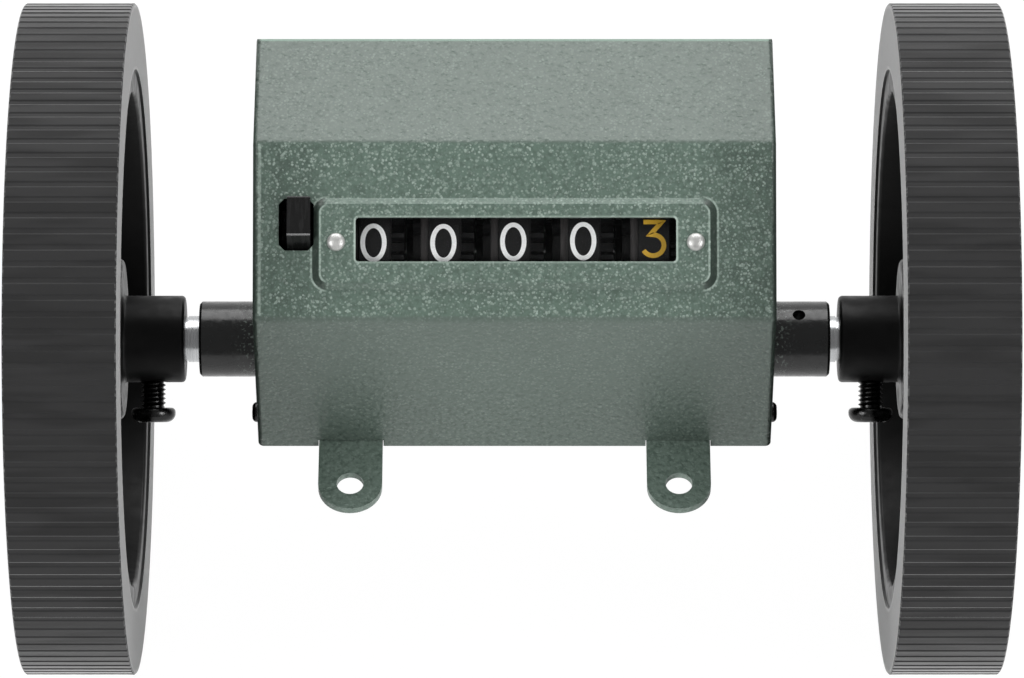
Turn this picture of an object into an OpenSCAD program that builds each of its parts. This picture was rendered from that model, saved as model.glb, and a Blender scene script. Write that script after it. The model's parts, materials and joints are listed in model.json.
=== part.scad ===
// Rolling-wheel length counter: a shaft with two rubber-tyred wheels drives five number drums
// in a folded sheet housing. The origin is the middle of the four foot holes, on the underside.
// +X runs along the wheel shaft, +Y to the back and +Z up.

/* [Cover] */
// Outside width of the cover
cover_w = 80.6; // [80:0.2:90]
// Outside depth of the cover, front to back
cover_d = 44.9; // [44:0.1:50]
// Height of the cover above the mounting surface
cover_h = 46.6; // [46:0.2:50]
// Height of the upright front wall, up to the fold
front_h = 30.65; // [29.5:0.05:31.5]
// Depth of the flat top, from the back wall to the fold
top_d = 22.4; // [21.6:0.1:23.2]
// Sheet thickness of the cover
cover_t = 1.0; // [0.8:0.1:1.1]
// Outside radius of the folds
fold_r = 1.6; // [1.2:0.1:2.2]
// Outside radius where the end walls meet the rest
end_r = 0.9; // [0.5:0.1:1]

/* [Window and panel] */
// Width of the window
window_w = 49.3; // [48:0.1:50]
// Height of the window, along the slope
window_h = 6.8; // [6:0.1:7.4]
// Sideways place of the window's middle
window_x = 0.2; // [-0.4:0.1:0.4]
// Width of the raised panel at its foot
panel_w = 62.2; // [61.6:0.1:62.6]
// Height of the raised panel at its foot, along the slope
panel_h = 14.2; // [13.6:0.1:14.8]
// How far the panel stands out of the slope
panel_rise = 0.9; // [0.7:0.05:1]
// Width of the panel's slanted edge
panel_bevel = 1.0; // [0.8:0.1:1.2]
// Corner radius of the raised panel
panel_r = 2.4; // [1.8:0.1:3]
// Thickness of the clear pane
pane_t = 0.8; // [0.6:0.1:0.9]
// Distance between the two face rivets
rivet_gap = 55.3; // [54.8:0.1:55.8]
// Diameter of a face rivet's dome
rivet_d = 2.8; // [2.4:0.1:3]

/* [Base frame] */
// Sheet thickness of the base frame and its tabs
base_t = 1.2; // [1:0.1:1.3]
// Height of the base frame's end flanges
flange_h = 15; // [13:0.5:18]
// Width of a mounting tab
tab_w = 10; // [9:0.1:11]
// Distance between the foot holes along the shaft
foot_gap_x = 51.4; // [50:0.1:53]
// Distance from the cover's wall out to a foot hole
foot_out = 8.5; // [8:0.1:9.5]
// Diameter of a foot hole
foot_hole_d = 4.2; // [4:0.1:4.8]
// Head diameter of a cover screw
cover_screw_d = 3.2; // [2.8:0.1:3.6]
// Place of a cover screw: distance in from the front or back wall
cover_screw_in = 3.7; // [3.6:0.1:5]
// Place of a cover screw: height above the mounting surface
cover_screw_z = 3.9; // [3.6:0.1:5]

/* [Shaft and bearing tubes] */
// Distance of the wheel shaft from the cover's front wall
shaft_in = 16.8; // [16.4:0.1:17.2]
// Height of the wheel shaft above the mounting surface
shaft_z = 6.15; // [6:0.05:6.4]
// Diameter of the wheel shaft between the wheels
shaft_d = 7.3; // [7:0.1:7.4]
// Diameter of the wheel shaft in the hubs
seat_d = 6.9; // [6.4:0.1:6.9]
// Length of the wheel shaft
shaft_len = 148; // [146:0.5:150]
// Outside diameter of a bearing tube
tube_d = 11.9; // [11.4:0.1:12]
// Distance of a bearing tube's end from the middle of the housing
tube_end = 49.7; // [48:0.1:50]
// Diameter of the oil hole in the right bearing tube
oil_d = 2; // [1.6:0.1:2.4]

/* [Wheels] */
// Diameter over the tyres
tyre_d = 106.1; // [104:0.1:108]
// Width of a tyre
tyre_w = 17.2; // [16:0.1:18]
// Distance between the tyres' inner faces
tyre_gap = 118.8; // [118:0.1:121]
// How far the pair of wheels sits off the middle of the housing
wheel_shift = -0.4; // [-0.5:0.1:0.5]
// Radial thickness of a tyre
tyre_t = 10.4; // [9:0.1:11]
// Number of ribs round a tyre
ribs = 130; // [110:1:140]
// Depth of the grooves between the ribs
rib_depth = 0.16; // [0.1:0.02:0.4]
// Radial thickness of the wheel's rim
rim_t = 3.6; // [3:0.1:5]
// Thickness of the wheel's web
web_t = 3; // [2.4:0.1:4]
// Depth of the dish on a wheel's outer side
outer_dish = 3.6; // [3:0.1:5]
// Diameter of the wheel's boss
boss_d = 25.3; // [23:0.1:28]
// Distance of the boss's inner face behind the tyre's inner face
boss_in = 1.9; // [1:0.1:2.4]
// Diameter of the wheel's hub
hub_d = 13.7; // [12.6:0.1:15]
// Length of the hub beyond the tyre's inner face
hub_out = 7.8; // [7.4:0.1:8.2]
// Thread diameter of a set screw
set_screw_d = 4; // [3:0.5:4]
// Head diameter of a set screw
set_head_d = 7.2; // [6:0.1:7.4]
// Head height of a set screw
set_head_h = 2.3; // [1.8:0.1:2.6]
// Gap between the hub and a set screw's head
set_gap = 4; // [3.4:0.1:5]
// Distance of a set screw from the tyre's inner face
set_out = 2.8; // [2.4:0.1:3.4]
// Angle of the set screws at rest, below the level towards the front
set_angle = 40; // [30:1:60]

/* [Number drums] */
// Gap between the drums' figures and the inside of the cover's slope
drum_gap = 0.9; // [0.7:0.05:1.1]
// Distance of the drums behind the wheel shaft
drum_back = 1.23; // [1:0.01:1.4]
// Diameter over the figures of a drum
drum_d = 25; // [24:0.1:25.4]
// Distance from one drum to the next
drum_pitch = 10.77; // [10.77:0.01:10.9]
// Sideways place of the middle drum's figures
drum_x = -0.2; // [-0.3:0.05:0.1]
// Width of a drum's figure band
band_w = 5.05; // [4.8:0.05:5.05]
// Width of the plain ring on a drum's left edge
ring_w = 1.15; // [1:0.05:1.15]
// Diameter of the drum shaft
drum_shaft_d = 3; // [2.6:0.1:3.2]

/* [Gears] */
// Teeth of the gear on each drum
drum_teeth = 20; // [19:1:21]
// Teeth of a transfer pinion
pinion_teeth = 8; // [7:1:9]
// Module of the drum gears and transfer pinions
pinion_m = 1; // [0.98:0.01:1.02]
// Width of the gear on each drum
drum_gear_w = 2; // [1.6:0.1:2]
// Teeth of the drive gear on the wheel shaft
drive_teeth = 16; // [16:1:17]
// Teeth of the large idler gear
idler_big_teeth = 32; // [31:1:33]
// Module of the drive gear and the large idler gear
drive_m = 0.6; // [0.6:0.01:0.62]
// Teeth of the small idler gear
idler_small_teeth = 16; // [15:1:17]
// Teeth of the gear on the tenths drum
tenths_teeth = 24; // [23:1:25]
// Module of the small idler gear and the tenths gear
idler_m = 0.8; // [0.79:0.01:0.81]
// Diameter of the idler stud
stud_d = 3; // [2.6:0.1:3.2]
// Diameter of the pinion shaft
pinion_shaft_d = 2.4; // [2:0.1:2.6]

/* [Frame plates] */
// Thickness of the side plates
plate_t = 1; // [0.8:0.1:1.1]
// Distance from the middle of the housing to a side plate's inner face
plate_x = 28; // [27.9:0.1:28.5]
// Clearance between the side plates and the cover's slope
plate_slope_gap = 2.6; // [2.4:0.1:3]
// Distance of the plates' front edge ahead of the wheel shaft
plate_front = 10.5; // [10:0.1:11]
// Gap between the plates' back edge and the base frame's
plate_back = 5; // [4:0.1:6]
// Length of the plates' feet
foot_len = 6; // [5:0.1:7]

/* [Reset key] */
// Sideways place of the key's slot
slot_x = -33.6; // [-33.8:0.1:-33.5]
// Width of the key's slot
slot_w = 5.4; // [5:0.1:5.6]
// Lower end of the slot, up the slope from the front fold
slot_low = 10.75; // [10.4:0.05:10.8]
// Upper end of the slot, up the slope from the front fold
slot_high = 18.8; // [18.6:0.1:19.4]
// Width of the key
key_w = 3.6; // [3:0.1:3.8]
// Height that the key stands above the slope
key_rise = 2.2; // [1.8:0.1:2.6]
// Angle that the key turns through when it is pressed
key_travel = 8; // [6:0.5:8.5]
// Depth of the reset rod below the cover's top
rod_down = 6.95; // [6.8:0.01:7.1]
// Distance of the reset rod behind the drum shaft
rod_back = 11.27; // [11:0.01:11.6]
// Diameter of the reset rod
rod_d = 2.5; // [2:0.1:2.6]
// Wall of the lever's tube round the rod
lever_wall = 1.2; // [0.9:0.1:1.3]
// Wire thickness of the reset spring
spring_wire = 0.45; // [0.35:0.05:0.6]
// Outside diameter of the reset spring
spring_d = 4; // [3.4:0.1:4.4]
// Turns of the reset spring
spring_turns = 5; // [4:1:6]

/* [Hidden] */
drum_names = ["thousands", "hundreds", "tens", "units", "tenths"];

// Smoothness of round faces, and clearances
$fn = 64;
run = 0.05;
free = 0.25;
fit = 0.02;
past = 1;

// The slope of the cover
slope_foot = [-cover_d / 2, front_h];
slope_head = [cover_d / 2 - top_d, cover_h];
slope_a = atan2(slope_head.y - slope_foot.y, slope_head.x - slope_foot.x);
slope_up = [cos(slope_a), sin(slope_a)];
slope_out = [-sin(slope_a), cos(slope_a)];
function up_slope(y, z) = [y - slope_foot.x, z - slope_foot.y] * slope_up;
function slope_at(y) = slope_foot.y + (y - slope_foot.x) * tan(slope_a);

// Places that the pieces share
shaft_y = -cover_d / 2 + shaft_in;
drum_y = shaft_y + drum_back;
drum_z = slope_at(drum_y) - (drum_d / 2 + cover_t + drum_gap) / cos(slope_a);
pinion_y = drum_y + pinion_m * (drum_teeth + pinion_teeth) / 2;
rod_y = drum_y + rod_back;
rod_z = cover_h - rod_down;

// The idler sits where both pairs of gears mesh, behind the line from the shaft to the drums
drive_c = drive_m * (drive_teeth + idler_big_teeth) / 2;
tenths_c = idler_m * (idler_small_teeth + tenths_teeth) / 2;
to_drums = [drum_back, drum_z - shaft_z];
drum_far = norm(to_drums);
idler_along = (drive_c * drive_c - tenths_c * tenths_c + drum_far * drum_far) / (2 * drum_far);
idler_aside = sqrt(drive_c * drive_c - idler_along * idler_along);
idler_y = shaft_y + (idler_along * to_drums.x + idler_aside * to_drums.y) / drum_far;
idler_z = shaft_z + (idler_along * to_drums.y - idler_aside * to_drums.x) / drum_far;

// Angles at which the idler's two gears meet the drive gear and the tenths gear
drive_phase = atan2(idler_z - shaft_z, idler_y - shaft_y);
idler_phase = atan2(idler_z - drum_z, idler_y - drum_y);

// Widths along the shaft, from the middle of a drum's figures
band_left = -band_w / 2 + 0.175;
ring_left = band_left - ring_w;
gear_left = band_left + band_w;
carry_w = 1.2;
carry_left = ring_left - carry_w;
cam_w = 1;
cam_left = carry_left - 0.05 - cam_w;
drum_hub_r = 3.1;
tenths_gear_w = drum_gear_w + 0.2;
function drum_at(k) = drum_x + (k - 2) * drum_pitch;
idler_left = drum_at(4) + gear_left + 0.25;
big_w = 1.3;
idler_right = plate_x - 0.15;
plate_out = plate_x + plate_t;
rod_out = 1.8;
rod_clip_w = 0.5;
stud_clip_x = idler_left - 0.2;

// Where the side plates' feet are screwed down
foot_screws = [shaft_y - 8.2, shaft_y + 14];
foot_screw_d = 3.8;
foot_screw_h = 1.4;

// Places up the slope
drum_t = up_slope(drum_y, drum_z);
window_t = drum_t + 0.5;
panel_t_mid = drum_t - 0.1;
rivet_t = drum_t + 0.1;

// Cover and base outlines
cover_points = [[-cover_d / 2, 0], slope_foot, slope_head, [cover_d / 2, cover_h], [cover_d / 2, 0]];
end_x = cover_w / 2;
base_gap = 0.2;
base_x = end_x - cover_t - base_gap;
base_y = cover_d / 2 - cover_t - base_gap;
screw_y = cover_d / 2 - cover_screw_in;
head_h = 0.9;

// Bearing tubes and the shaft's clips
bore_r = shaft_d / 2 + run;
spigot_r = 4.3;
clip_r = shaft_d / 2 + 0.95;
flare_r = 4.75;
flare_w = 0.6;
tube_in = base_x - base_t - flare_w;
clip_w = 0.6;
groove_r = shaft_d / 2 - 0.55;
clip_x = tube_in - 0.15 - clip_w;
oil_x = (end_x + tube_end) / 2 - 0.2;

// Wheel sizes
tyre_r = tyre_d / 2;
tyre_x = tyre_gap / 2;
joint_r = tyre_r - tyre_t;
rim_in_r = joint_r - rim_t;
rim_edge = 0.4;
web_x = tyre_x + tyre_w - outer_dish;
hub_end = tyre_x - hub_out;
set_x = tyre_x - set_out;
set_dir = set_angle + 180;

// Reset lever
tube_r = rod_d / 2 + run + lever_wall;
key_front = slope_foot.x + slot_low * slope_up.x + cover_t * sin(slope_a) + free;
key_back = slope_foot.x + slot_high * slope_up.x - 0.5;
key_mid_x = slot_x + 0.4;
key_low = slope_at(key_front) - 4;
arm_t = 1.2;
arm_r = 1.7;
arm_end = [key_back + 0.4, key_low + 1.8];
function arm_z(y) = arm_end.y + (rod_z - arm_end.y) * (y - arm_end.x) / (rod_y - arm_end.x);
spring_y = key_back + 5.2;
ledge_z = drum_z + drum_shaft_d / 2 + 1.5;
ledge_edge = 1;
seat_h = 1.6;
seat_z = arm_z(spring_y - spring_d / 2) - arm_r - 0.8;
finger_t = 0.8;
cam_r = 6.6;
cam_in_r = 3.4;
finger_tip_r = cam_r + 0.35 + (rod_back + 0.4) * sin(key_travel);

// Reset spring, drawn as a wire with a few sides
spring_low = ledge_z + plate_t + spring_wire / 2;
spring_high = seat_z - spring_wire / 2;
spring_steps = 20;
spring_sides = 6;

// Unit vector along v
function unit(v) = v / norm(v);

// Points of the arc that rounds corner b between a and c
function corner(a, b, c, r, n) =
    let (u = unit(a - b), v = unit(c - b), half = acos(u * v) / 2)
    let (m = b + unit(u + v) * r / sin(half), s = b + u * r / tan(half) - m)
    let (side = u.x * v.y - u.y * v.x > 0 ? -1 : 1, sweep = 180 - 2 * half)
    r == 0 ? [b] : [for (i = [0:n]) let (t = side * sweep * i / n)
        m + [s.x * cos(t) - s.y * sin(t), s.x * sin(t) + s.y * cos(t)]];

// An outline with its corners rounded, one radius for each corner
function rounded(p, r, n) = [for (i = [0:len(p) - 1])
    each corner(p[(i + len(p) - 1) % len(p)], p[i], p[(i + 1) % len(p)], r[i], n)];

// A convex outline moved inwards by d
function inset(p, d) = [for (i = [0:len(p) - 1])
    let (a = p[(i + len(p) - 1) % len(p)], b = p[i], c = p[(i + 1) % len(p)])
    let (u = unit(a - b), v = unit(c - b))
    b + unit(u + v) * d / sin(acos(u * v) / 2)];

// A flat outline in Y and Z, made solid along X
module across(x, w) translate([x, 0, 0]) rotate([90, 0, 90]) linear_extrude(w) children();

// A turned outline of radius and X, about an axis at y and z
module turned(y, z) translate([0, y, z]) rotate([0, 90, 0]) rotate_extrude() children();

// A shape laid on the slope: X across, Y up the slope, Z out of it
module on_slope(x, t) translate([x, slope_foot.x, slope_foot.y]) rotate([slope_a, 0, 0])
    translate([0, t, 0]) children();

// A shape and its mirror image, for the two ends
module both_ends() {
    children();
    mirror([1, 0, 0]) children();
}

// Points of a gear with straight-flanked teeth, the first one at angle a
function gear_points(n, m, a) = let (step = 360 / n, r = m * n / 2) [for (i = [0:n - 1])
    each [for (f = [[-1.15, -0.26], [0, -0.21], [0.9, -0.1], [0.9, 0.1], [0, 0.21], [-1.15, 0.26]])
        let (t = a + (i + f.y) * step) (r + f.x * m) * [cos(t), sin(t)]]];

// Points of a heart cam: its valley points up
function cam_points(r_in, r_out) = [for (i = [0:5:355])
    let (s = abs(i - 180) / 180, r = r_out + (r_in - r_out) * s) r * [cos(i + 90), sin(i + 90)]];

// A straight bar between two round ends
module link(p, q, p_r, q_r) {
    side = unit([p.y - q.y, q.x - p.x]);
    translate(p) circle(p_r);
    translate(q) circle(q_r);
    polygon([p + side * p_r * 0.98, q + side * q_r * 0.98, q - side * q_r * 0.98, p - side * p_r * 0.98]);
}

// A ring with a slot in its side, for a clip
module clip2d(r_in, r_out) difference() {
    circle(r_out);
    circle(r_in);
    translate([0, -r_in * 0.8]) square([r_out + past, r_in * 1.6]);
}

// The outside form of the cover: its profile, with the edges at the end walls rounded
module cover_form() {
    radii = [0, fold_r, fold_r, fold_r, 0];
    edge = rounded([[-end_x, 0], [end_x, 0], [end_x, -3 * cover_h], [-end_x, -3 * cover_h]],
        [end_r, end_r, 0, 0], 6);
    intersection() {
        across(-end_x - past, cover_w + 2 * past) polygon(rounded(cover_points, radii, 8));
        intersection_for (k = [0:3]) {
            a = cover_points[k];
            b = cover_points[k + 1];
            translate([0, a.x, a.y]) rotate([atan2(b.y - a.y, b.x - a.x), 0, 0]) rotate([90, 0, 0])
                linear_extrude(6 * cover_h, center = true) polygon(edge);
        }
    }
}

// The raised panel's form, with walls moved in by shrink and the whole dropped along the slope's normal
module panel_form(shrink, drop) {
    w = panel_w / 2 - panel_r;
    h = panel_h / 2 - panel_r;
    sunk = 0.2;
    foot_r = panel_r - shrink + panel_bevel * sunk / panel_rise;
    hull() for (sx = [-1, 1], sy = [-1, 1])
        on_slope(sx * w, panel_t_mid + sy * h) translate([0, 0, -drop - sunk])
            cylinder(h = panel_rise + sunk, r1 = foot_r, r2 = panel_r - shrink - panel_bevel, $fn = 32);
}

module cover() color("#6c7d74") difference() {
    union() {
        cover_form();
        panel_form(0, 0);
    }
    across(-end_x + cover_t, cover_w - 2 * cover_t)
        polygon([for (p = inset(cover_points, cover_t)) p.y > cover_t * 1.01 ? p : [p.x, -past]]);
    panel_form(0.35, cover_t);
    on_slope(window_x, window_t) translate([0, 0, -3]) linear_extrude(6)
        polygon(rounded([for (c = [[-1, -1], [1, -1], [1, 1], [-1, 1]])
            [c.x * window_w / 2, c.y * window_h / 2]], [0.5, 0.5, 0.5, 0.5], 4));
    slot_mid = (slot_low + slot_high) / 2;
    slot_half = (slot_high - slot_low) / 2;
    cut = 0.9;
    on_slope(slot_x, slot_mid) translate([0, 0, -3]) linear_extrude(6)
        polygon([[-slot_w / 2, -slot_half + cut], [-slot_w / 2 + cut, -slot_half],
            [slot_w / 2 - cut, -slot_half], [slot_w / 2, -slot_half + cut],
            [slot_w / 2, slot_half - cut], [slot_w / 2 - cut, slot_half],
            [-slot_w / 2 + cut, slot_half], [-slot_w / 2, slot_half - cut]]);
    for (s = [-1, 1]) on_slope(window_x + s * rivet_gap / 2, rivet_t)
        translate([0, 0, -3]) cylinder(h = 6, d = rivet_d / 2);
    both_ends() {
        across(end_x - 2 * cover_t, 3 * cover_t) {
            translate([shaft_y, shaft_z]) circle(tube_d / 2 + free);
            translate([shaft_y - tube_d / 2 - free, -past]) square([tube_d + 2 * free, shaft_z + past]);
        }
        for (s = [-1, 1]) translate([end_x - 2 * cover_t, s * screw_y, cover_screw_z])
            rotate([0, 90, 0]) cylinder(h = 3 * cover_t, d = 2.2);
    }
    for (sx = [-1, 1]) translate([sx * foot_gap_x / 2, 0, base_t / 2])
        cube([tab_w + 4 * run, 2 * cover_d, base_t + 2 * free], center = true);
}

module base_frame() color("#4d6158") difference() {
    union() {
        rotate([90, 0, 0]) linear_extrude(2 * base_y, center = true) difference() {
            polygon(rounded([[-base_x, flange_h], [-base_x, 0], [base_x, 0], [base_x, flange_h]],
                [0, 1.5, 1.5, 0], 6));
            polygon(rounded([[-base_x + base_t, flange_h + past], [-base_x + base_t, base_t],
                [base_x - base_t, base_t], [base_x - base_t, flange_h + past]], [0, 0.5, 0.5, 0], 4));
        }
        for (sx = [-1, 1]) translate([sx * foot_gap_x / 2, 0, 0]) {
            for (sy = [-1, 1]) translate([0, sy * (cover_d / 2 + foot_out), 0])
                cylinder(h = base_t, d = tab_w);
            translate([-tab_w / 2, -cover_d / 2 - foot_out, 0])
                cube([tab_w, cover_d + 2 * foot_out, base_t]);
        }
    }
    for (sx = [-1, 1], sy = [-1, 1])
        translate([sx * foot_gap_x / 2, sy * (cover_d / 2 + foot_out), -past])
            cylinder(h = base_t + 2 * past, d = foot_hole_d);
    both_ends() {
        translate([base_x - 2 * base_t, shaft_y, shaft_z]) rotate([0, 90, 0])
            cylinder(h = 3 * base_t, r = spigot_r + fit);
        for (s = [-1, 1]) translate([base_x - 2 * base_t, s * screw_y, cover_screw_z])
            rotate([0, 90, 0]) cylinder(h = 3 * base_t, d = 2);
        for (y = foot_screws) translate([plate_x + plate_t + foot_len / 2, y, -past])
            cylinder(h = base_t + 2 * past, d = 2);
    }
    translate([idler_right - big_w - 1, shaft_y - 4, -past]) cube([big_w + 2, 8, base_t + 2 * past]);
}

module bearing_tube() difference() {
    turned(shaft_y, shaft_z) polygon([[bore_r, tube_in], [flare_r, tube_in], [flare_r, tube_in + flare_w],
        [spigot_r, tube_in + flare_w], [spigot_r, base_x], [tube_d / 2, base_x],
        [tube_d / 2, tube_end - 0.4], [tube_d / 2 - 0.4, tube_end], [bore_r, tube_end]]);
    children();
}

module left_bearing_tube() color("#26282a") mirror([1, 0, 0]) bearing_tube();

module right_bearing_tube() color("#26282a") bearing_tube()
    translate([oil_x, shaft_y, shaft_z]) cylinder(h = tube_d, d = oil_d);

module wheel_shaft() color("#c9cbcc") turned(shaft_y, shaft_z) {
    seat = hub_end - 0.5;
    end = shaft_len / 2;
    polygon([[0, wheel_shift - end], [seat_d / 2 - 0.5, wheel_shift - end],
        [seat_d / 2, wheel_shift - end + 0.5], [seat_d / 2, wheel_shift - seat],
        [shaft_d / 2, wheel_shift - seat], [shaft_d / 2, -clip_x - clip_w - fit],
        [groove_r, -clip_x - clip_w - fit], [groove_r, -clip_x + fit], [shaft_d / 2, -clip_x + fit],
        [shaft_d / 2, clip_x - fit], [groove_r, clip_x - fit], [groove_r, clip_x + clip_w + fit],
        [shaft_d / 2, clip_x + clip_w + fit], [shaft_d / 2, wheel_shift + seat],
        [seat_d / 2, wheel_shift + seat], [seat_d / 2, wheel_shift + end - 0.5],
        [seat_d / 2 - 0.5, wheel_shift + end], [0, wheel_shift + end]]);
}

// One wheel, with its inner side towards the middle of the housing
module wheel_disc() difference() {
    turned(shaft_y, shaft_z) polygon(rounded([
        [seat_d / 2 + fit, hub_end], [hub_d / 2, hub_end], [hub_d / 2, tyre_x + boss_in],
        [boss_d / 2, tyre_x + boss_in], [boss_d / 2 + 0.4, web_x - web_t],
        [rim_in_r - 0.4, web_x - web_t], [rim_in_r, tyre_x + rim_edge], [joint_r - fit, tyre_x + rim_edge],
        [joint_r - fit, tyre_x + tyre_w - rim_edge], [rim_in_r, tyre_x + tyre_w - rim_edge],
        [rim_in_r - 0.4, web_x], [boss_d / 2 - 2, web_x], [boss_d / 2 - 3, shaft_len / 2 + 0.4],
        [seat_d / 2 + fit, shaft_len / 2 + 0.4]],
        [0, 0.6, 0.5, 0.8, 1.2, 1.2, 0.5, 0, 0, 0.5, 1, 0.8, 0.6, 0], 4));
    translate([set_x, shaft_y, shaft_z]) rotate([set_dir - 90, 0, 0])
        cylinder(h = hub_d, d = set_screw_d);
}

module tyre() {
    pitch = 360 / ribs;
    low = tyre_r - rib_depth;
    edge_r = low - 0.08;
    bevel = tyre_r + 0.5 - edge_r;
    difference() {
        intersection() {
            across(tyre_x, tyre_w) translate([shaft_y, shaft_z])
                polygon([for (i = [0:ribs - 1]) each [for (f = [[tyre_r, -0.28], [tyre_r, 0.28],
                    [low, 0.38], [low, 0.62]]) let (t = (i + f.y) * pitch) f.x * [cos(t), sin(t)]]]);
            turned(shaft_y, shaft_z) polygon([[joint_r - 1, tyre_x], [edge_r, tyre_x],
                [edge_r + bevel, tyre_x + bevel], [edge_r + bevel, tyre_x + tyre_w - bevel],
                [edge_r, tyre_x + tyre_w], [joint_r - 1, tyre_x + tyre_w]]);
        }
        translate([tyre_x - past, shaft_y, shaft_z]) rotate([0, 90, 0])
            cylinder(h = tyre_w + 2 * past, r = joint_r);
    }
}

// A left-hand wheel piece is the right-hand one's mirror image
module left_wheel() translate([wheel_shift, 0, 0]) mirror([1, 0, 0]) children();
module right_wheel() translate([wheel_shift, 0, 0]) children();

module left_wheel_disc() color("#1d1e1f") left_wheel() wheel_disc();
module right_wheel_disc() color("#1d1e1f") right_wheel() wheel_disc();
module left_tyre() color("#3c3d3e") left_wheel() tyre();
module right_tyre() color("#3c3d3e") right_wheel() tyre();

// A turned screw along +Z with its head above zero
module screw(shank_d, shank_len, head_d, head_h, slot_w) difference() {
    rotate_extrude() polygon(rounded([[0, -shank_len], [shank_d / 2 - 0.3, -shank_len],
        [shank_d / 2, -shank_len + 0.3], [shank_d / 2, 0], [head_d / 2, 0], [head_d / 2, head_h],
        [0, head_h]], [0, 0, 0, 0, 0, head_h * 0.85, 0], 5));
    translate([-head_d, -slot_w / 2, head_h * 0.55]) cube([2 * head_d, slot_w, head_h]);
}

module set_screw() translate([set_x, shaft_y, shaft_z]) rotate([set_dir - 90, 0, 0])
    translate([0, 0, hub_d / 2 + set_gap])
        screw(set_screw_d - 2 * fit, hub_d / 2 + set_gap - seat_d / 2 - fit, set_head_d, set_head_h, 1);

module set_screws() color("#1a1a1a") {
    left_wheel() set_screw();
    right_wheel() set_screw();
}

module cover_screws() color("#202020") both_ends() for (s = [-1, 1])
    translate([end_x, s * screw_y, cover_screw_z]) rotate([0, 90, 0])
        screw(1.9, cover_t + base_gap + base_t + 0.6, cover_screw_d, head_h, 0.6);

module face_rivets() color("#d8d8d6") for (s = [-1, 1])
    on_slope(window_x + s * rivet_gap / 2, rivet_t) translate([0, 0, panel_rise])
        rotate_extrude() polygon([for (p = [[0, 0.3 * rivet_d]]) p,
            for (i = [0:8]) [0.5 * rivet_d * cos(80 - 10 * i), 0.3 * rivet_d * sin(80 - 10 * i)],
            [rivet_d / 4 - run, 0], [rivet_d / 4 - run, -cover_t - pane_t],
            [rivet_d * 0.45, -cover_t - pane_t], [rivet_d * 0.35, -cover_t - pane_t - 0.5],
            [0, -cover_t - pane_t - 0.5]]);

module window_pane() color("#dfe8e6", 0.35) difference() {
    on_slope(-0.05, panel_t_mid) translate([0, 0, panel_rise - cover_t - pane_t / 2])
        cube([panel_w - 2 * panel_bevel - 1.6, panel_h - 2 * panel_bevel - 2, pane_t], center = true);
    for (s = [-1, 1]) on_slope(window_x + s * rivet_gap / 2, rivet_t)
        translate([0, 0, -3]) cylinder(h = 6, d = rivet_d / 2);
}

// One side plate on the right, with its two feet turned outwards
module side_plate(stud_hole, rod_hole) {
    slope_edge = 1 / cos(slope_a) * (cover_t + plate_slope_gap);
    front = shaft_y - plate_front;
    back = base_y - plate_back;
    hoop = tube_r + 1.4;
    across(plate_x, plate_t) difference() {
        polygon(rounded([[front, base_t], [front, slope_at(front) - slope_edge],
            [rod_y - hoop, rod_z + hoop], [rod_y + hoop, rod_z + hoop], [back, rod_z - 3],
            [back, base_t]], [0, 3, 2, 3, 3, 0], 6));
        translate([shaft_y, shaft_z]) circle(shaft_d / 2 + 1);
        translate([shaft_y - shaft_d / 2 - 1, -past]) square([shaft_d + 2, shaft_z + past]);
        translate([drum_y, drum_z]) circle(drum_shaft_d / 2 + fit);
        translate([pinion_y, drum_z]) circle(pinion_shaft_d / 2 + fit);
        translate([rod_y, rod_z]) circle(rod_hole);
        if (stud_hole) translate([idler_y, idler_z]) circle(stud_d / 2 + fit);
    }
    for (y = foot_screws) difference() {
        translate([plate_x + plate_t, y - 2.3, base_t]) cube([foot_len, 4.6, plate_t]);
        translate([plate_x + plate_t + foot_len / 2, y, 0]) cylinder(h = 3 * base_t, d = 2.2);
    }
}

module right_side_plate() color("#b4b7b8") side_plate(true, rod_d / 2 + fit);

module left_side_plate() color("#b4b7b8") {
    mirror([1, 0, 0]) side_plate(false, tube_r + run);
    translate([key_mid_x - spring_d / 2 - ledge_edge, spring_y - spring_d / 2 - ledge_edge, ledge_z])
        cube([-plate_out - key_mid_x + spring_d / 2 + ledge_edge, spring_d + 2 * ledge_edge, plate_t]);
}

module frame_screws() color("#8b8d8e") both_ends() for (y = foot_screws)
    translate([plate_x + plate_t + foot_len / 2, y, base_t + plate_t])
        screw(1.9, base_t + plate_t, foot_screw_d, foot_screw_h, 0.6);

// A plain rod with bevelled ends
module rod(y, z, d, x_left, x_right) turned(y, z) polygon([[0, x_left], [d / 2 - 0.2, x_left],
    [d / 2, x_left + 0.2], [d / 2, x_right - 0.2], [d / 2 - 0.2, x_right], [0, x_right]]);

module drum_shaft() color("#c4c6c7")
    rod(drum_y, drum_z, drum_shaft_d, -plate_out - rod_out, plate_out + rod_out);
module pinion_shaft() color("#c4c6c7")
    rod(pinion_y, drum_z, pinion_shaft_d, -plate_out - rod_out, plate_out + rod_out);
module reset_rod() color("#c4c6c7")
    rod(rod_y, rod_z, rod_d, key_mid_x - 4.6, plate_out + rod_out);

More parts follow.
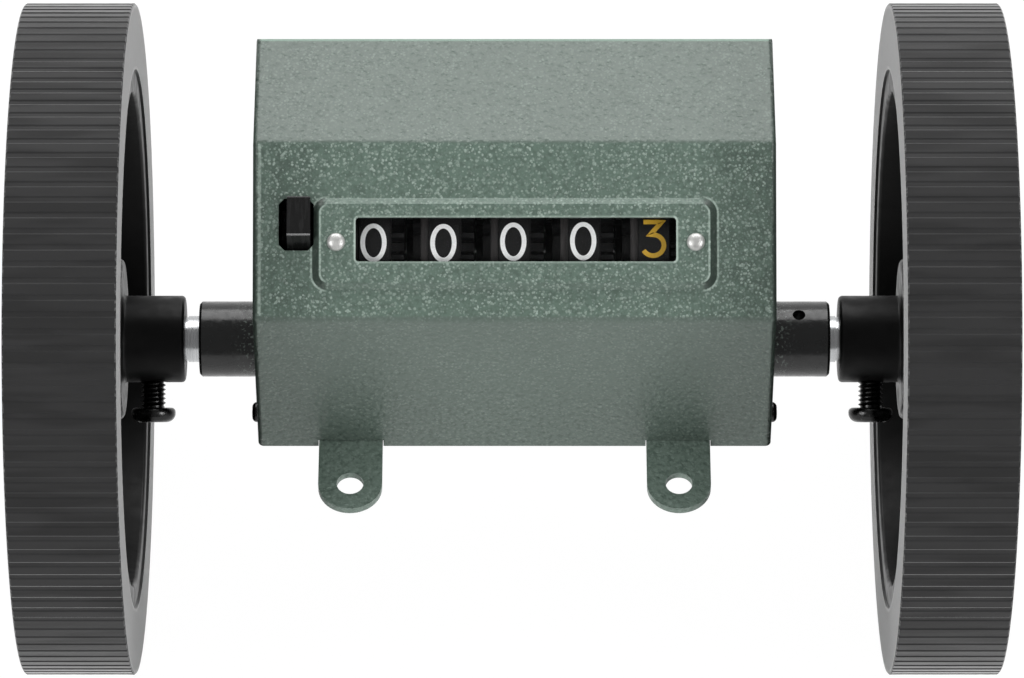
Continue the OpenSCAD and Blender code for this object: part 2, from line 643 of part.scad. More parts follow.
// One drum: figure band, ring, gear on its right side, carry disc and reset cam on its left
module drum(k, teeth, m, gear_w) {
    x = drum_at(k);
    r = drum_d / 2;
    turned(drum_y, drum_z) translate([0, x]) polygon([[drum_shaft_d / 2 + run, cam_left],
        [drum_hub_r, cam_left], [drum_hub_r, gear_left - 1.4], [r - 1.8, gear_left - 1.4],
        [r - 1.8, ring_left], [r - 0.35, ring_left], [r - 0.35, band_left], [r - 0.2, band_left],
        [r, band_left + 0.15], [r, gear_left - 0.25], [r - 0.25, gear_left],
        [drum_hub_r, gear_left], [drum_hub_r, gear_left + gear_w], [drum_shaft_d / 2 + run, gear_left + gear_w]]);
    across(x + gear_left - 0.3, gear_w + 0.3) translate([drum_y, drum_z]) difference() {
        polygon(gear_points(teeth, m, k < 4 ? 180 / teeth : idler_phase + 180 / teeth));
        circle(drum_hub_r - 0.3);
    }
    across(x + cam_left, cam_w + 0.1) translate([drum_y, drum_z]) difference() {
        polygon(cam_points(cam_in_r, cam_r));
        circle(drum_hub_r - 0.3);
    }
    across(x + carry_left, carry_w) translate([drum_y, drum_z]) difference() {
        carry_outline();
        circle(drum_hub_r - 0.3);
    }
}

// The carry disc: a plain ring with two teeth that step the next pinion on once a turn
module carry_outline() {
    r = pinion_m * drum_teeth / 2;
    circle(r - 1.15 * pinion_m);
    for (s = [-0.5, 0.5]) rotate(100 + s * 360 / drum_teeth)
        polygon([[r - 2 * pinion_m, -0.9 * pinion_m], [r, -0.66 * pinion_m],
            [r + 0.9 * pinion_m, -0.3 * pinion_m], [r + 0.9 * pinion_m, 0.3 * pinion_m],
            [r, 0.66 * pinion_m], [r - 2 * pinion_m, 0.9 * pinion_m]]);
}

module number_drum(k) color("#232424")
    if (k < 4) drum(k, drum_teeth, pinion_m, drum_gear_w);
    else drum(k, tenths_teeth, idler_m, tenths_gear_w);

module thousands_drum() number_drum(0);
module hundreds_drum() number_drum(1);
module tens_drum() number_drum(2);
module units_drum() number_drum(3);
module tenths_drum() number_drum(4);

// The pinion between drum k and the next lower one: it stops just short of the carry disc
module pinion(k) color("#b59a55") {
    x = drum_at(k) + gear_left + 0.05;
    w = drum_at(k + 1) + carry_left - 0.27 - x;
    across(x, w) translate([pinion_y, drum_z]) difference() {
        polygon(gear_points(pinion_teeth, pinion_m, 180));
        circle(pinion_shaft_d / 2 + run);
    }
}

module thousands_pinion() pinion(0);
module hundreds_pinion() pinion(1);
module tens_pinion() pinion(2);
module units_pinion() pinion(3);

module drive_gear() color("#b59a55") across(idler_right - big_w - 0.1, big_w)
    translate([shaft_y, shaft_z]) difference() {
        polygon(gear_points(drive_teeth, drive_m, drive_phase));
        circle(shaft_d / 2 + fit);
    }

module idler_gear() color("#c8b98a") translate([0, idler_y, idler_z]) {
    across(idler_right - big_w, big_w) difference() {
        polygon(gear_points(idler_big_teeth, drive_m, drive_phase + 180 + 180 / idler_big_teeth));
        circle(stud_d / 2 + run);
    }
    across(idler_left, idler_right - big_w - idler_left + 0.2) difference() {
        polygon(gear_points(idler_small_teeth, idler_m, idler_phase + 180));
        circle(stud_d / 2 + run);
    }
}

module idler_stud() color("#c4c6c7") rod(idler_y, idler_z, stud_d, stud_clip_x - 1, plate_out + 0.5);

module idler_clip() color("#6f7273") across(stud_clip_x - rod_clip_w, rod_clip_w)
    translate([idler_y, idler_z]) clip2d(stud_d / 2 + fit, stud_d / 2 + 1.1);

// Lever tube on the reset rod, with a finger over each reset cam and an arm to the key
module reset_lever() color("#a9acad") {
    left = key_mid_x - 2;
    turned(rod_y, rod_z) polygon([[rod_d / 2 + run, left], [tube_r, left],
        [tube_r, plate_x - 0.1], [rod_d / 2 + run, plate_x - 0.1]]);
    tip = [drum_y - 0.4, drum_z + finger_tip_r + 0.8];
    for (k = [0:4]) across(drum_at(k) + cam_left + 0.1, finger_t) difference() {
        link([rod_y, rod_z], tip, tube_r + 0.5, 0.8);
        translate([rod_y, rod_z]) circle(tube_r - 0.2);
    }
    across(key_mid_x - arm_t / 2, arm_t) difference() {
        union() {
            link([rod_y, rod_z], arm_end, tube_r + 0.6, arm_r);
            translate([key_front + 1.1, key_low + 0.9]) square([key_back - key_front, 2.6]);
        }
        translate([rod_y, rod_z]) circle(tube_r - 0.2);
    }
    translate([key_mid_x, spring_y, seat_z]) cylinder(h = seat_h, d = spring_d + 0.4);
}

module reset_key() color("#1b1b1c") difference() {
    top_front = slope_at(key_front) + key_rise;
    top_back = slope_at(key_back) + key_rise - 0.3;
    across(key_mid_x - key_w / 2, key_w) polygon(rounded([[key_front, key_low],
        [key_front, top_front], [key_back, top_back], [key_back, key_low]], [0, 0.5, 0.3, 0], 5));
    across(key_mid_x - arm_t / 2 - fit, arm_t + 2 * fit)
        translate([key_front + 1.1 - fit, key_low - past]) square([cover_d, 4.5 + fit]);
}

// Points of ring i of the spring's wire, which winds up from the ledge to the lever's seat
function spring_ring(i) = let (a = 360 * i / spring_steps, n = spring_turns * spring_steps,
    z = spring_low + (spring_high - spring_low) * min(1, max(0, (i - spring_steps / 2) / (n - spring_steps))))
    [for (j = [0:spring_sides - 1]) let (b = 360 * j / spring_sides,
        r = spring_d / 2 - spring_wire / 2 + cos(b) * spring_wire / 2 * 0.96)
        [r * cos(a), r * sin(a), z + sin(b) * spring_wire / 2 * 0.96]];

module reset_spring() color("#9a9d9e") translate([key_mid_x, spring_y, 0]) {
    n = spring_turns * spring_steps;
    last = n * spring_sides;
    polyhedron(points = [for (i = [0:n]) each spring_ring(i)],
        faces = [[for (j = [0:spring_sides - 1]) j],
            [for (j = [spring_sides - 1:-1:0]) last + j],
            for (i = [0:n - 1], j = [0:spring_sides - 1]) let (k = (j + 1) % spring_sides,
                a = i * spring_sides, b = a + spring_sides) [a + j, b + j, b + k, a + k]]);
}

module shaft_clips() color("#6f7273") both_ends() across(clip_x, clip_w)
    translate([shaft_y, shaft_z]) clip2d(groove_r + fit, clip_r);

module rod_clips() color("#6f7273") {
    both_ends() {
        across(plate_out + 0.1, rod_clip_w) translate([drum_y, drum_z])
            clip2d(drum_shaft_d / 2 + fit, drum_shaft_d / 2 + 1.2);
        across(plate_out + 0.1, rod_clip_w) translate([pinion_y, drum_z])
            clip2d(pinion_shaft_d / 2 + fit, pinion_shaft_d / 2 + 1.1);
    }
    for (x = [plate_out + 0.1, key_mid_x - 3]) across(x, rod_clip_w) translate([rod_y, rod_z])
        clip2d(rod_d / 2 + fit, rod_d / 2 + 1.1);
}

cover();
base_frame();
left_bearing_tube();
right_bearing_tube();
wheel_shaft();
left_wheel_disc();
right_wheel_disc();
left_tyre();
right_tyre();
set_screws();
cover_screws();
face_rivets();
window_pane();
left_side_plate();
right_side_plate();
frame_screws();
drum_shaft();
thousands_drum();
hundreds_drum();
tens_drum();
units_drum();
tenths_drum();
pinion_shaft();
thousands_pinion();
hundreds_pinion();
tens_pinion();
units_pinion();
drive_gear();
idler_gear();
idler_stud();
idler_clip();
reset_lever();
reset_key();
reset_rod();
reset_spring();
shaft_clips();
rod_clips();
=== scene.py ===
# Looks, figures, screws, spring and stage of a rolling-wheel length counter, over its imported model
import json
import math

import bpy
import bmesh
from mathutils import Matrix, Vector


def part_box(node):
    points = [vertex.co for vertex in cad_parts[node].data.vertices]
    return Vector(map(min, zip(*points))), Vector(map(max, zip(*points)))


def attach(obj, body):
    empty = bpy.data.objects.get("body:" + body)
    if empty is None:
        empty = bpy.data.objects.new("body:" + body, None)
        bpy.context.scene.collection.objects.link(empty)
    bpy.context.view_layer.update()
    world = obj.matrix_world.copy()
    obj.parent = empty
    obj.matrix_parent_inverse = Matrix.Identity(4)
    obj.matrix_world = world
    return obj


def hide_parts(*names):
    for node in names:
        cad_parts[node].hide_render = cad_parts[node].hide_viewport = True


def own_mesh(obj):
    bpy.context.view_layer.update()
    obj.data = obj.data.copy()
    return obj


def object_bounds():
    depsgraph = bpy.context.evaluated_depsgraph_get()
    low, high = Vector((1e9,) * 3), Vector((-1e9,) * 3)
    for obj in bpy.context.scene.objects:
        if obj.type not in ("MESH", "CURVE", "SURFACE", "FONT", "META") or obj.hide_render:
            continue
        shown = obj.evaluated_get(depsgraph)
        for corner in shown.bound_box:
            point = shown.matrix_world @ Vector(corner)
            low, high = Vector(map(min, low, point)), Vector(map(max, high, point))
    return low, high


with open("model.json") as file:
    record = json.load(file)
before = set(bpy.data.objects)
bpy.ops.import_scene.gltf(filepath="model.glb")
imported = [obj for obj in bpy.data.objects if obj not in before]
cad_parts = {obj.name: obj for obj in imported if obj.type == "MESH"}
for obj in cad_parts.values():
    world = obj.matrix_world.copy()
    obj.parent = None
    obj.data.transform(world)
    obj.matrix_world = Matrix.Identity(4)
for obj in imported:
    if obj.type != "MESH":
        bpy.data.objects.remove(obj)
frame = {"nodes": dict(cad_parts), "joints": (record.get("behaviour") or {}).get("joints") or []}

bl_info = {
    "name": "Length Counter",
    "version": (1, 0, 0),
    "blender": (4, 5, 0),
    "location": "View3D > Sidebar > Counter",
    "description": "Paint, rubber, figures, screws, spring and stage of a rolling-wheel length counter",
    "category": "Object",
}

MM = 0.001
PLACES = ["thousands", "hundreds", "tens", "units", "tenths"]
NODES = frame["nodes"]
CAD_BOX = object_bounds()


def axis_of(joint):
    """A point on a joint's axis, in metres."""
    return Vector(next(j["pos_m"] for j in frame["joints"] if j["name"] == joint))


SHAFT = axis_of("wheel_spin")
DRUMS = axis_of("units_spin")

# Radii on a wheel: its boss, its disc's rim, and its tyre's lip, rib feet and outer edge
BOSS_R, RIM_R = 13.0 * MM, 39.0 * MM
LIP_R, RIB_FOOT_R, EDGE_R = 42.9 * MM, 52.9 * MM, 52.1 * MM

# The drums' first middle, the step from one to the next, and their radius
DRUM_START, DRUM_STEP, DRUM_R = -21.74 * MM, 10.77 * MM, 12.5 * MM

# The cover's sloping face, from its lower fold up to its upper one
SLOPE_FOOT = Vector((0, -22.45, 30.65)) * MM
SLOPE_HEAD = Vector((0, 0.05, 46.6)) * MM
SLOPE = math.atan2(SLOPE_HEAD.z - SLOPE_FOOT.z, SLOPE_HEAD.y - SLOPE_FOOT.y)
UPHILL = Vector((0, math.cos(SLOPE), math.sin(SLOPE)))
WINDOW_UP = (DRUMS - SLOPE_FOOT).dot(UPHILL) + 0.5 * MM

# Width, height and corner radius of the window and of the raised panel round it
WINDOW = (49.3 * MM, 6.8 * MM, 0.5 * MM)
PANEL = (62.2 * MM, 14.2 * MM, 2.4 * MM)

# Width and height of a figure over its strokes, and the strokes' width, in millimetres
FIGURE_W, FIGURE_H, STROKE = 4.06, 6.0, 0.72


def arc(x, y, rx, ry, a, b, steps=14):
    """Points of an elliptical arc from angle a to angle b, in degrees."""
    turn = [math.radians(a + (b - a) * i / steps) for i in range(steps + 1)]
    return [(x + rx * math.cos(t), y + ry * math.sin(t)) for t in turn]


def figure_lines():
    """The centre lines of each figure from 0 to 9, in millimetres."""
    w, h = (FIGURE_W - STROKE) / 2, (FIGURE_H - STROKE) / 2
    bowl = 1.62
    low = bowl - h
    return [
        [arc(0, 0, w, h, 90, 450, 40)],
        [[(-1.0, h - 1.0), (0.25, h), (0.25, -h)]],
        [arc(0, h - 1.6, 1.6, 1.6, 165, -25, 16) + [(-w, -h), (w, -h)]],
        [[(-w + 0.2, h), (w - 0.3, h), (-0.45, 0.62)] + arc(0, low, w, bowl, 82, -150, 20)],
        [[(0.8, -h), (0.8, h), (-w, -1.1), (w, -1.1)]],
        [[(w - 0.2, h), (-1.15, h), (-1.4, 0.35)] + arc(0, low + 0.1, w, bowl + 0.1, 125, -150, 20)],
        [arc(0.35, 0.9, 1.9, h - 0.9, 60, 180, 10) + arc(0, low, w, bowl, 180, -180, 30)],
        [[(-w, h), (w, h), (-0.5, -h)]],
        [arc(0, low, w, bowl, 90, 450, 28), arc(0, h - 1.15, 1.35, 1.15, 90, 450, 24)],
        [arc(-0.35, -0.9, 1.9, h - 0.9, 240, 360, 10) + arc(0, -low, w, bowl, 0, 360, 30)],
    ]


def only(*objects):
    """Selects these objects alone and makes the first one active."""
    bpy.ops.object.select_all(action="DESELECT")
    for o in objects:
        o.select_set(True)
    bpy.context.view_layer.objects.active = objects[0]


def bevelled(obj, test, offset, segments):
    """Bevels the edges whose middle passes the test."""
    only(obj)
    bpy.ops.object.mode_set(mode="EDIT")
    bpy.ops.mesh.select_mode(type="EDGE")
    bpy.ops.mesh.select_all(action="DESELECT")
    mesh = bmesh.from_edit_mesh(obj.data)
    for edge in mesh.edges:
        if test((edge.verts[0].co + edge.verts[1].co) / 2):
            edge.select_set(True)
    bmesh.update_edit_mesh(obj.data)
    bpy.ops.mesh.bevel(offset=offset, segments=segments, affect="EDGES")
    bpy.ops.object.mode_set(mode="OBJECT")


def section(sides, r, out):
    """The outline of a wire, standing at a distance out along X from the axis that it winds round."""
    bpy.ops.object.select_all(action="DESELECT")
    bpy.ops.mesh.primitive_circle_add(vertices=sides, radius=r, fill_type="NOTHING",
                                      location=(out, 0, 0), rotation=(math.pi / 2, 0, 0))
    bpy.ops.object.transform_apply(location=True, rotation=True, scale=True)
    return bpy.context.object


def close_ends(obj):
    """Fills the two open ends of a wound wire."""
    only(obj)
    bpy.ops.object.mode_set(mode="EDIT")
    bpy.ops.mesh.select_all(action="DESELECT")
    bpy.ops.mesh.select_mode(type="EDGE")
    bpy.ops.mesh.select_non_manifold()
    bpy.ops.mesh.edge_face_add()
    bpy.ops.object.mode_set(mode="OBJECT")


def modified(obj, kind, **settings):
    """Adds one modifier, sets it and applies it."""
    only(obj)
    step = obj.modifiers.new(kind.title(), kind)
    for name, value in settings.items():
        setattr(step, name, value)
    bpy.ops.object.modifier_apply(modifier=step.name)


def settled(obj, name):
    """Names a finished piece, puts its place in its mesh and smooths it."""
    only(obj)
    obj.name = obj.data.name = name
    bpy.ops.object.transform_apply(location=True, rotation=True, scale=True)
    bpy.ops.object.mode_set(mode="EDIT")
    bpy.ops.mesh.select_all(action="SELECT")
    bpy.ops.mesh.remove_doubles(threshold=1e-6)
    bpy.ops.mesh.normals_make_consistent(inside=False)
    bpy.ops.object.mode_set(mode="OBJECT")
    bpy.ops.object.shade_smooth_by_angle(angle=math.radians(35))
    return obj


def coated(obj, material):
    """Gives a whole piece one material."""
    obj.data.materials.clear()
    obj.data.materials.append(material)


class Finish:
    """A material whose nodes are added one line at a time."""

    def __init__(self, name, roughness=0.5, metallic=0.0, **sockets):
        self.material = bpy.data.materials.new(name)
        self.material.use_nodes = True
        self.nodes = self.material.node_tree.nodes
        self.shader = self.nodes["Principled BSDF"]
        self.place = self.nodes.new("ShaderNodeTexCoord").outputs["Object"]
        self.shader.inputs["Roughness"].default_value = roughness
        self.shader.inputs["Metallic"].default_value = metallic
        for name, value in sockets.items():
            self.shader.inputs[name.replace("_", " ")].default_value = value

    def join(self, source, target):
        """Links an output to an input."""
        self.material.node_tree.links.new(source, target)

    def node(self, kind, inputs=(), **settings):
        """Adds a shader node, with its inputs as values or links."""
        made = self.nodes.new("ShaderNode" + kind)
        for name, value in settings.items():
            setattr(made, name, value)
        for name, value in dict(inputs).items():
            if isinstance(value, bpy.types.NodeSocket):
                self.join(value, made.inputs[name])
            else:
                made.inputs[name].default_value = value
        return made

    def turned(self, rotation=(0, 0, 0), scale=(1, 1, 1), location=(0, 0, 0)):
        """Object coordinates, moved, turned or stretched."""
        return self.node("Mapping", {"Vector": self.place, "Location": location,
                                     "Rotation": rotation, "Scale": scale}).outputs[0]

    def noise(self, size, detail=2.0, place=None):
        """Noise whose lumps are about size metres across."""
        return self.node("TexNoise", {"Vector": place or self.place, "Scale": 1 / size,
                                      "Detail": detail}).outputs["Fac"]

    def cells(self, size, place, output="Distance"):
        """Cells about size metres across."""
        return self.node("TexVoronoi", {"Vector": place, "Scale": 1 / size}).outputs[output]

    def sums(self, operation, a, b=0.5, clamp=False):
        """One step of arithmetic."""
        made = self.node("Math", operation=operation, use_clamp=clamp)
        for socket, value in zip(made.inputs, (a, b)):
            if isinstance(value, bpy.types.NodeSocket):
                self.join(value, socket)
            else:
                socket.default_value = value
        return made.outputs[0]

    def ranged(self, value, low, high, to_low=0.0, to_high=1.0, smooth=True):
        """A value between low and high, spread over another range."""
        return self.node("MapRange", {"Value": value, "From Min": low, "From Max": high,
                                      "To Min": to_low, "To Max": to_high},
                         interpolation_type="SMOOTHSTEP" if smooth else "LINEAR").outputs[0]

    def product(self, *values):
        """All the values multiplied together."""
        total = values[0]
        for value in values[1:]:
            total = self.sums("MULTIPLY", total, value)
        return total

    def size_of(self, value):
        """The value without its sign."""
        return self.sums("ABSOLUTE", value)

    def mixed(self, share, a, b):
        """A share of the colour b over the colour a."""
        made = self.node("Mix", data_type="RGBA")
        for socket, value in zip((made.inputs[0], made.inputs[6], made.inputs[7]), (share, a, b)):
            if isinstance(value, bpy.types.NodeSocket):
                self.join(value, socket)
            elif isinstance(value, (int, float)):
                socket.default_value = value
            else:
                socket.default_value = (*value[:3], 1)
        return made.outputs[2]

    def axis(self, letter, place=None):
        """One of the coordinates, in metres."""
        return self.node("SeparateXYZ", {"Vector": place or self.place}).outputs[letter]

    def facing(self, letter):
        """How far the surface faces along one axis, from -1 to 1."""
        return self.axis(letter, self.node("NewGeometry").outputs["Normal"])

    def vector(self, operation, a, b=(0, 0, 0), output=0):
        """One step of arithmetic on vectors."""
        return self.node("VectorMath", {0: a, 1: b}, operation=operation).outputs[output]

    def radius(self, middle):
        """Distance from a line along X through a point."""
        flat = self.turned(scale=(0, 1, 1), location=(0, -middle.y, -middle.z))
        return self.vector("LENGTH", flat, output="Value")

    def colour(self, source):
        """Takes the base colour from a node."""
        self.join(source, self.shader.inputs["Base Color"])

    def rough(self, source):
        """Takes the roughness from a node."""
        self.join(source, self.shader.inputs["Roughness"])

    def bump(self, height, depth, strength):
        """Raises the surface by depth metres where height is 1."""
        made = self.node("Bump", {"Height": height, "Distance": depth, "Strength": strength})
        self.join(made.outputs[0], self.shader.inputs["Normal"])


class PaintSettings(bpy.types.PropertyGroup):
    green: bpy.props.FloatVectorProperty(
        name="Green", description="Colour of the hammer-finish paint", subtype="COLOR",
        default=(0.108, 0.160, 0.129), min=0, max=1)
    # Colour of the flecks, which are painted highlights of the hammer bumps; it also paints the cover's
    # painted highlight lines, the window's pale cut edge and the tubes' green overspray
    fleck: bpy.props.FloatVectorProperty(
        name="Fleck", description="Colour of the paint's pale flecks", subtype="COLOR",
        default=(0.40, 0.48, 0.43), min=0, max=1)
    fleck_gap: bpy.props.FloatProperty(
        name="Fleck spacing", description="Distance from one fleck to the next",
        default=0.6 * MM, min=0.4 * MM, max=4 * MM, precision=5, unit="LENGTH")
    black: bpy.props.FloatVectorProperty(
        name="Black", description="Colour of the bearing tubes' paint", subtype="COLOR",
        default=(0.018, 0.019, 0.019), min=0, max=1)


class WheelSettings(bpy.types.PropertyGroup):
    rubber: bpy.props.FloatVectorProperty(
        name="Rubber", description="Colour of the tyres", subtype="COLOR",
        default=(0.024, 0.024, 0.0245), min=0, max=1)
    # Painted light: the tyres' sides, and the discs' rims with them, are painted this many times paler than
    # the tread, for the light they catch at a slant
    side_painted_light: bpy.props.FloatProperty(
        name="Side shade", description="How many times paler the wheels' sides are than the tread",
        default=1.2, min=0.5, max=8)
    disc: bpy.props.FloatVectorProperty(
        name="Disc", description="Colour of the wheel discs", subtype="COLOR",
        default=(0.0045, 0.0045, 0.0046), min=0, max=1)
    thread_pitch: bpy.props.FloatProperty(
        name="Thread pitch", description="Pitch of the set screws' thread",
        default=0.7 * MM, min=0.4 * MM, max=1.2 * MM, precision=5, unit="LENGTH")


class FigureSettings(bpy.types.PropertyGroup):
    white: bpy.props.FloatVectorProperty(
        name="White", description="Colour of the whole metres' figures", subtype="COLOR",
        default=(0.93, 0.94, 0.94), min=0, max=1)
    yellow: bpy.props.FloatVectorProperty(
        name="Yellow", description="Colour of the tenths' figures", subtype="COLOR",
        default=(0.62, 0.37, 0.03), min=0, max=1)
    reading: bpy.props.IntVectorProperty(
        name="Reading", description="Figures in the window at rest", size=5,
        default=(0, 0, 0, 0, 3), min=0, max=9)
    height: bpy.props.FloatVectorProperty(
        name="Height", description="Angle of each figure above the level, seen along the drums",
        size=5, default=(0.977, 0.972, 0.99, 0.997, 1.026), subtype="EULER", unit="ROTATION")
    thickness: bpy.props.FloatProperty(
        name="Thickness", description="How far a figure stands out of its drum",
        default=0.05 * MM, min=0.01 * MM, max=0.2 * MM, precision=5, unit="LENGTH")


class StageSettings(bpy.types.PropertyGroup):
    lens: bpy.props.FloatProperty(
        name="Lens", description="Focal length of the camera on a 36 mm sensor, in millimetres",
        default=226.9, min=50, max=400)
    distance: bpy.props.FloatProperty(
        name="Distance", description="Camera's distance from the wheels' middle",
        default=1.021, min=0.3, max=5, unit="LENGTH")
    elevation: bpy.props.FloatProperty(
        name="Elevation", description="Camera's angle above the level",
        default=math.radians(50), subtype="ANGLE")
    room_light: bpy.props.FloatProperty(
        name="Room light", description="Strength of the even light all round",
        default=0.3, min=0, max=3)
    top_light: bpy.props.FloatProperty(
        name="Top light", description="Power of the large lamp above, a little behind",
        default=14, min=0, max=50)
    front_light: bpy.props.FloatProperty(
        name="Front light", description="Power of each of the two lamps in front",
        default=11.5, min=0, max=50)


def wheel_middle():
    """The point on the shaft halfway between the wheels."""
    low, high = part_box("wheel_shaft")
    return Vector(((low.x + high.x) / 2, SHAFT.y, SHAFT.z))


class COUNTER_OT_housing(bpy.types.Operator):
    """Hammer-finish paint on the cover and the base frame"""
    bl_idname = "counter.housing"
    bl_label = "Paint Housing"

    def paint(self, name, shade, plain, on_cover):
        """Green paint with pale flecks, painted highlights of the hammer bumps, which show fully on the
        slope and to the share plain elsewhere.
        """
        look = bpy.context.scene.counter_paint
        green = [c * shade for c in look.green]
        dark_green = [c * 0.45 for c in green]
        gap = look.fleck_gap
        coat = Finish(name, roughness=0.37)
        drift = coat.node("TexNoise", {"Vector": coat.place, "Scale": 2000, "Detail": 1.0})
        drift = coat.node("VectorMath", {0: drift.outputs["Color"], "Scale": 0.0006}, operation="SCALE")
        wander = coat.vector("ADD", coat.place, drift.outputs[0])

        # The slope takes the light, so its painted highlights and painted shade show most
        tilt = coat.size_of(coat.sums("SUBTRACT", coat.facing("Z"), math.cos(SLOPE)))
        lit = coat.ranged(tilt, 0.05, 0.17, 1.0, plain)
        if on_cover:
            lit = coat.sums("MAXIMUM", lit, coat.ranged(self.fold(coat), 0.6 * MM, 0.9 * MM, 0.85, 0))

        # Flecks in swarms, painted highlights of the hammer bumps, each with a ring of painted shadow
        highlight_spots, rings = self.drops(coat, wander, gap, 0.3, 0.52)
        askew = coat.turned(rotation=(0.5, 0.3, 0.9))
        more_highlight_spots, more_shadow_rings = self.drops(coat, askew, gap * 0.9, 0.27, 0.47)
        swarm = coat.ranged(coat.noise(5 * MM), 0.35, 0.65, 0.65, 1.15)
        fleck = coat.sums("MULTIPLY", coat.sums("MAXIMUM", highlight_spots, more_highlight_spots), swarm, True)
        ring = coat.sums("MAXIMUM", rings, more_shadow_rings)
        blotch = coat.ranged(coat.noise(2.2 * MM), 0.3, 0.7, 0.35, 0.8)
        # Painted shade: the shadow rings darken towards the housing's ends
        ends = coat.ranged(coat.size_of(coat.axis("X")), 27 * MM, 34 * MM, 0.2, 0.95)
        ring = coat.sums("MULTIPLY", coat.product(ring, blotch), ends, True)

        # Painted shade: greyer, darker paint off the slope, which takes the light. Then slow clouds, and a
        # fine dark mottle that is partly the paint's own and partly painted shade of the hammer relief,
        # strongest low down and on the slope
        shaded_grey = [c * 0.64 + sum(green) / 3 * 0.24 for c in green]
        base = coat.mixed(coat.ranged(lit, 0.3, 1), shaded_grey, green)
        cloud = coat.ranged(coat.noise(16 * MM), 0.3, 0.7, 0, 0.12)
        base = coat.mixed(cloud, base, [c * 0.5 for c in green])
        mottle = coat.ranged(coat.noise(0.75 * MM, 3), 0.42, 0.68, 0, 0.65)
        low = coat.ranged(coat.axis("Z"), 5 * MM, 20 * MM, 1, 0.35)
        low = coat.sums("MAXIMUM", low, coat.product(lit, 0.75))
        base = coat.mixed(coat.product(mottle, low), base, dark_green)
        base = coat.mixed(coat.product(ring, lit), base, dark_green)
        base = coat.mixed(coat.product(fleck, lit), base, look.fleck)
        coat.colour(self.edges(coat, base, green, look.fleck) if on_cover else base)
        coat.bump(coat.ranged(coat.cells(gap * 1.7, wander), 0, 0.6), 0.11 * MM, 0.7)
        return coat.material

    def drops(self, coat, place, gap, small, large):
        """Round painted highlights of the hammer bumps in the cells, paler on one side, and the rings of
        painted shadow round them.
        """
        chance = coat.cells(gap, place, "Color")
        size = coat.ranged(coat.axis("X", chance), 0, 1, small, large, smooth=False)
        strength = coat.ranged(coat.axis("Y", chance), 0.1, 0.9, 0.1, 0.62)
        share = coat.sums("DIVIDE", coat.cells(gap, place), size)
        beside = coat.vector("ADD", place, (0.05 * MM, 0, 0.07 * MM))
        hollow = coat.sums("DIVIDE", coat.cells(gap, beside), size)
        hollow = coat.sums("SUBTRACT", 1, coat.ranged(hollow, 0.1, 0.8, 0.5, 0))
        spot = coat.product(coat.ranged(share, 0.4, 1.2, 1, 0), strength, hollow)
        ring = coat.product(coat.ranged(share, 0.9, 1.3), coat.ranged(share, 1.5, 2.4, 1, 0))
        return spot, ring

    def outside(self, coat, middle, size):
        """Distance out of a rounded rectangle on the slope, in metres."""
        width, height, r = size
        across = coat.sums("SUBTRACT", coat.axis("X"), middle[0])
        along = coat.vector("DOT_PRODUCT", coat.place, UPHILL, "Value")
        along = coat.sums("SUBTRACT", along, SLOPE_FOOT.dot(UPHILL) + middle[1])
        spot = coat.node("CombineXYZ", {"X": across, "Y": along})
        spot = coat.vector("ABSOLUTE", spot.outputs[0])
        spot = coat.vector("SUBTRACT", spot, (width / 2 - r, height / 2 - r, 0))
        far = coat.vector("LENGTH", coat.vector("MAXIMUM", spot), output="Value")
        return coat.sums("SUBTRACT", far, r)

    def fold(self, coat):
        """Distance from the fold round the raised panel."""
        panel = self.outside(coat, (0, WINDOW_UP - 0.6 * MM), PANEL)
        return coat.size_of(coat.sums("ADD", panel, 0.5 * MM))

    def edges(self, coat, base, green, fleck):
        """Pale and dark edges of the cover: the window's pale cut edge, and painted highlights and painted
        shade at the panel's folds, the bends and the slope's left end.
        """
        wide = coat.size_of(coat.axis("X"))
        breaks = coat.ranged(coat.noise(0.5 * MM), 0.3, 0.6, 0.4, 1)
        north, up, side = coat.facing("Y"), coat.facing("Z"), coat.size_of(coat.facing("X"))

        # The panel's folds: painted shade in their sides, with a painted highlight line beside them
        fold = self.fold(coat)
        sides = coat.ranged(wide, 28.6 * MM, 29.6 * MM)
        fold_shade = coat.product(sides, coat.ranged(fold, 0.42 * MM, 0.56 * MM, 0.8, 0))
        pale = coat.product(coat.ranged(fold, 0.5 * MM, 0.62 * MM),
                            coat.ranged(fold, 0.7 * MM, 0.95 * MM, 1, 0), sides, breaks, 0.6)
        # Painted shade along the panel's lower fold
        under = coat.product(coat.ranged(fold, 0.5 * MM, 0.9 * MM, 0.1, 0),
                             coat.ranged(coat.axis("Z"), 36 * MM, 38 * MM, 1, 0))
        base = coat.mixed(under, base, [c * 0.6 for c in green])
        base = coat.mixed(fold_shade, base, [c * 0.25 for c in green])

        # Painted highlight along the rear bend, and painted shade along the bends to the end walls
        rear_highlight = coat.product(coat.ranged(north, 0.05, 0.3), coat.ranged(north, 0.8, 0.98, 1, 0), 0.9)
        base = coat.mixed(rear_highlight, base, [c * 2.1 for c in green])
        end_bend_shade = coat.product(coat.ranged(wide, 39.5 * MM, 39.8 * MM), coat.ranged(side, 0.8, 0.97, 0.6, 0))
        base = coat.mixed(end_bend_shade, base, [c * 0.3 for c in green])

        # A painted highlight down the slope's left end
        worn = coat.size_of(coat.sums("ADD", coat.axis("X"), 39.25 * MM))
        worn = coat.product(coat.ranged(worn, 0.1 * MM, 0.35 * MM, 0.55, 0), coat.ranged(up, 0.7, 0.8),
                            coat.ranged(up, 0.84, 0.92, 1, 0), breaks)
        base = coat.mixed(worn, base, fleck)

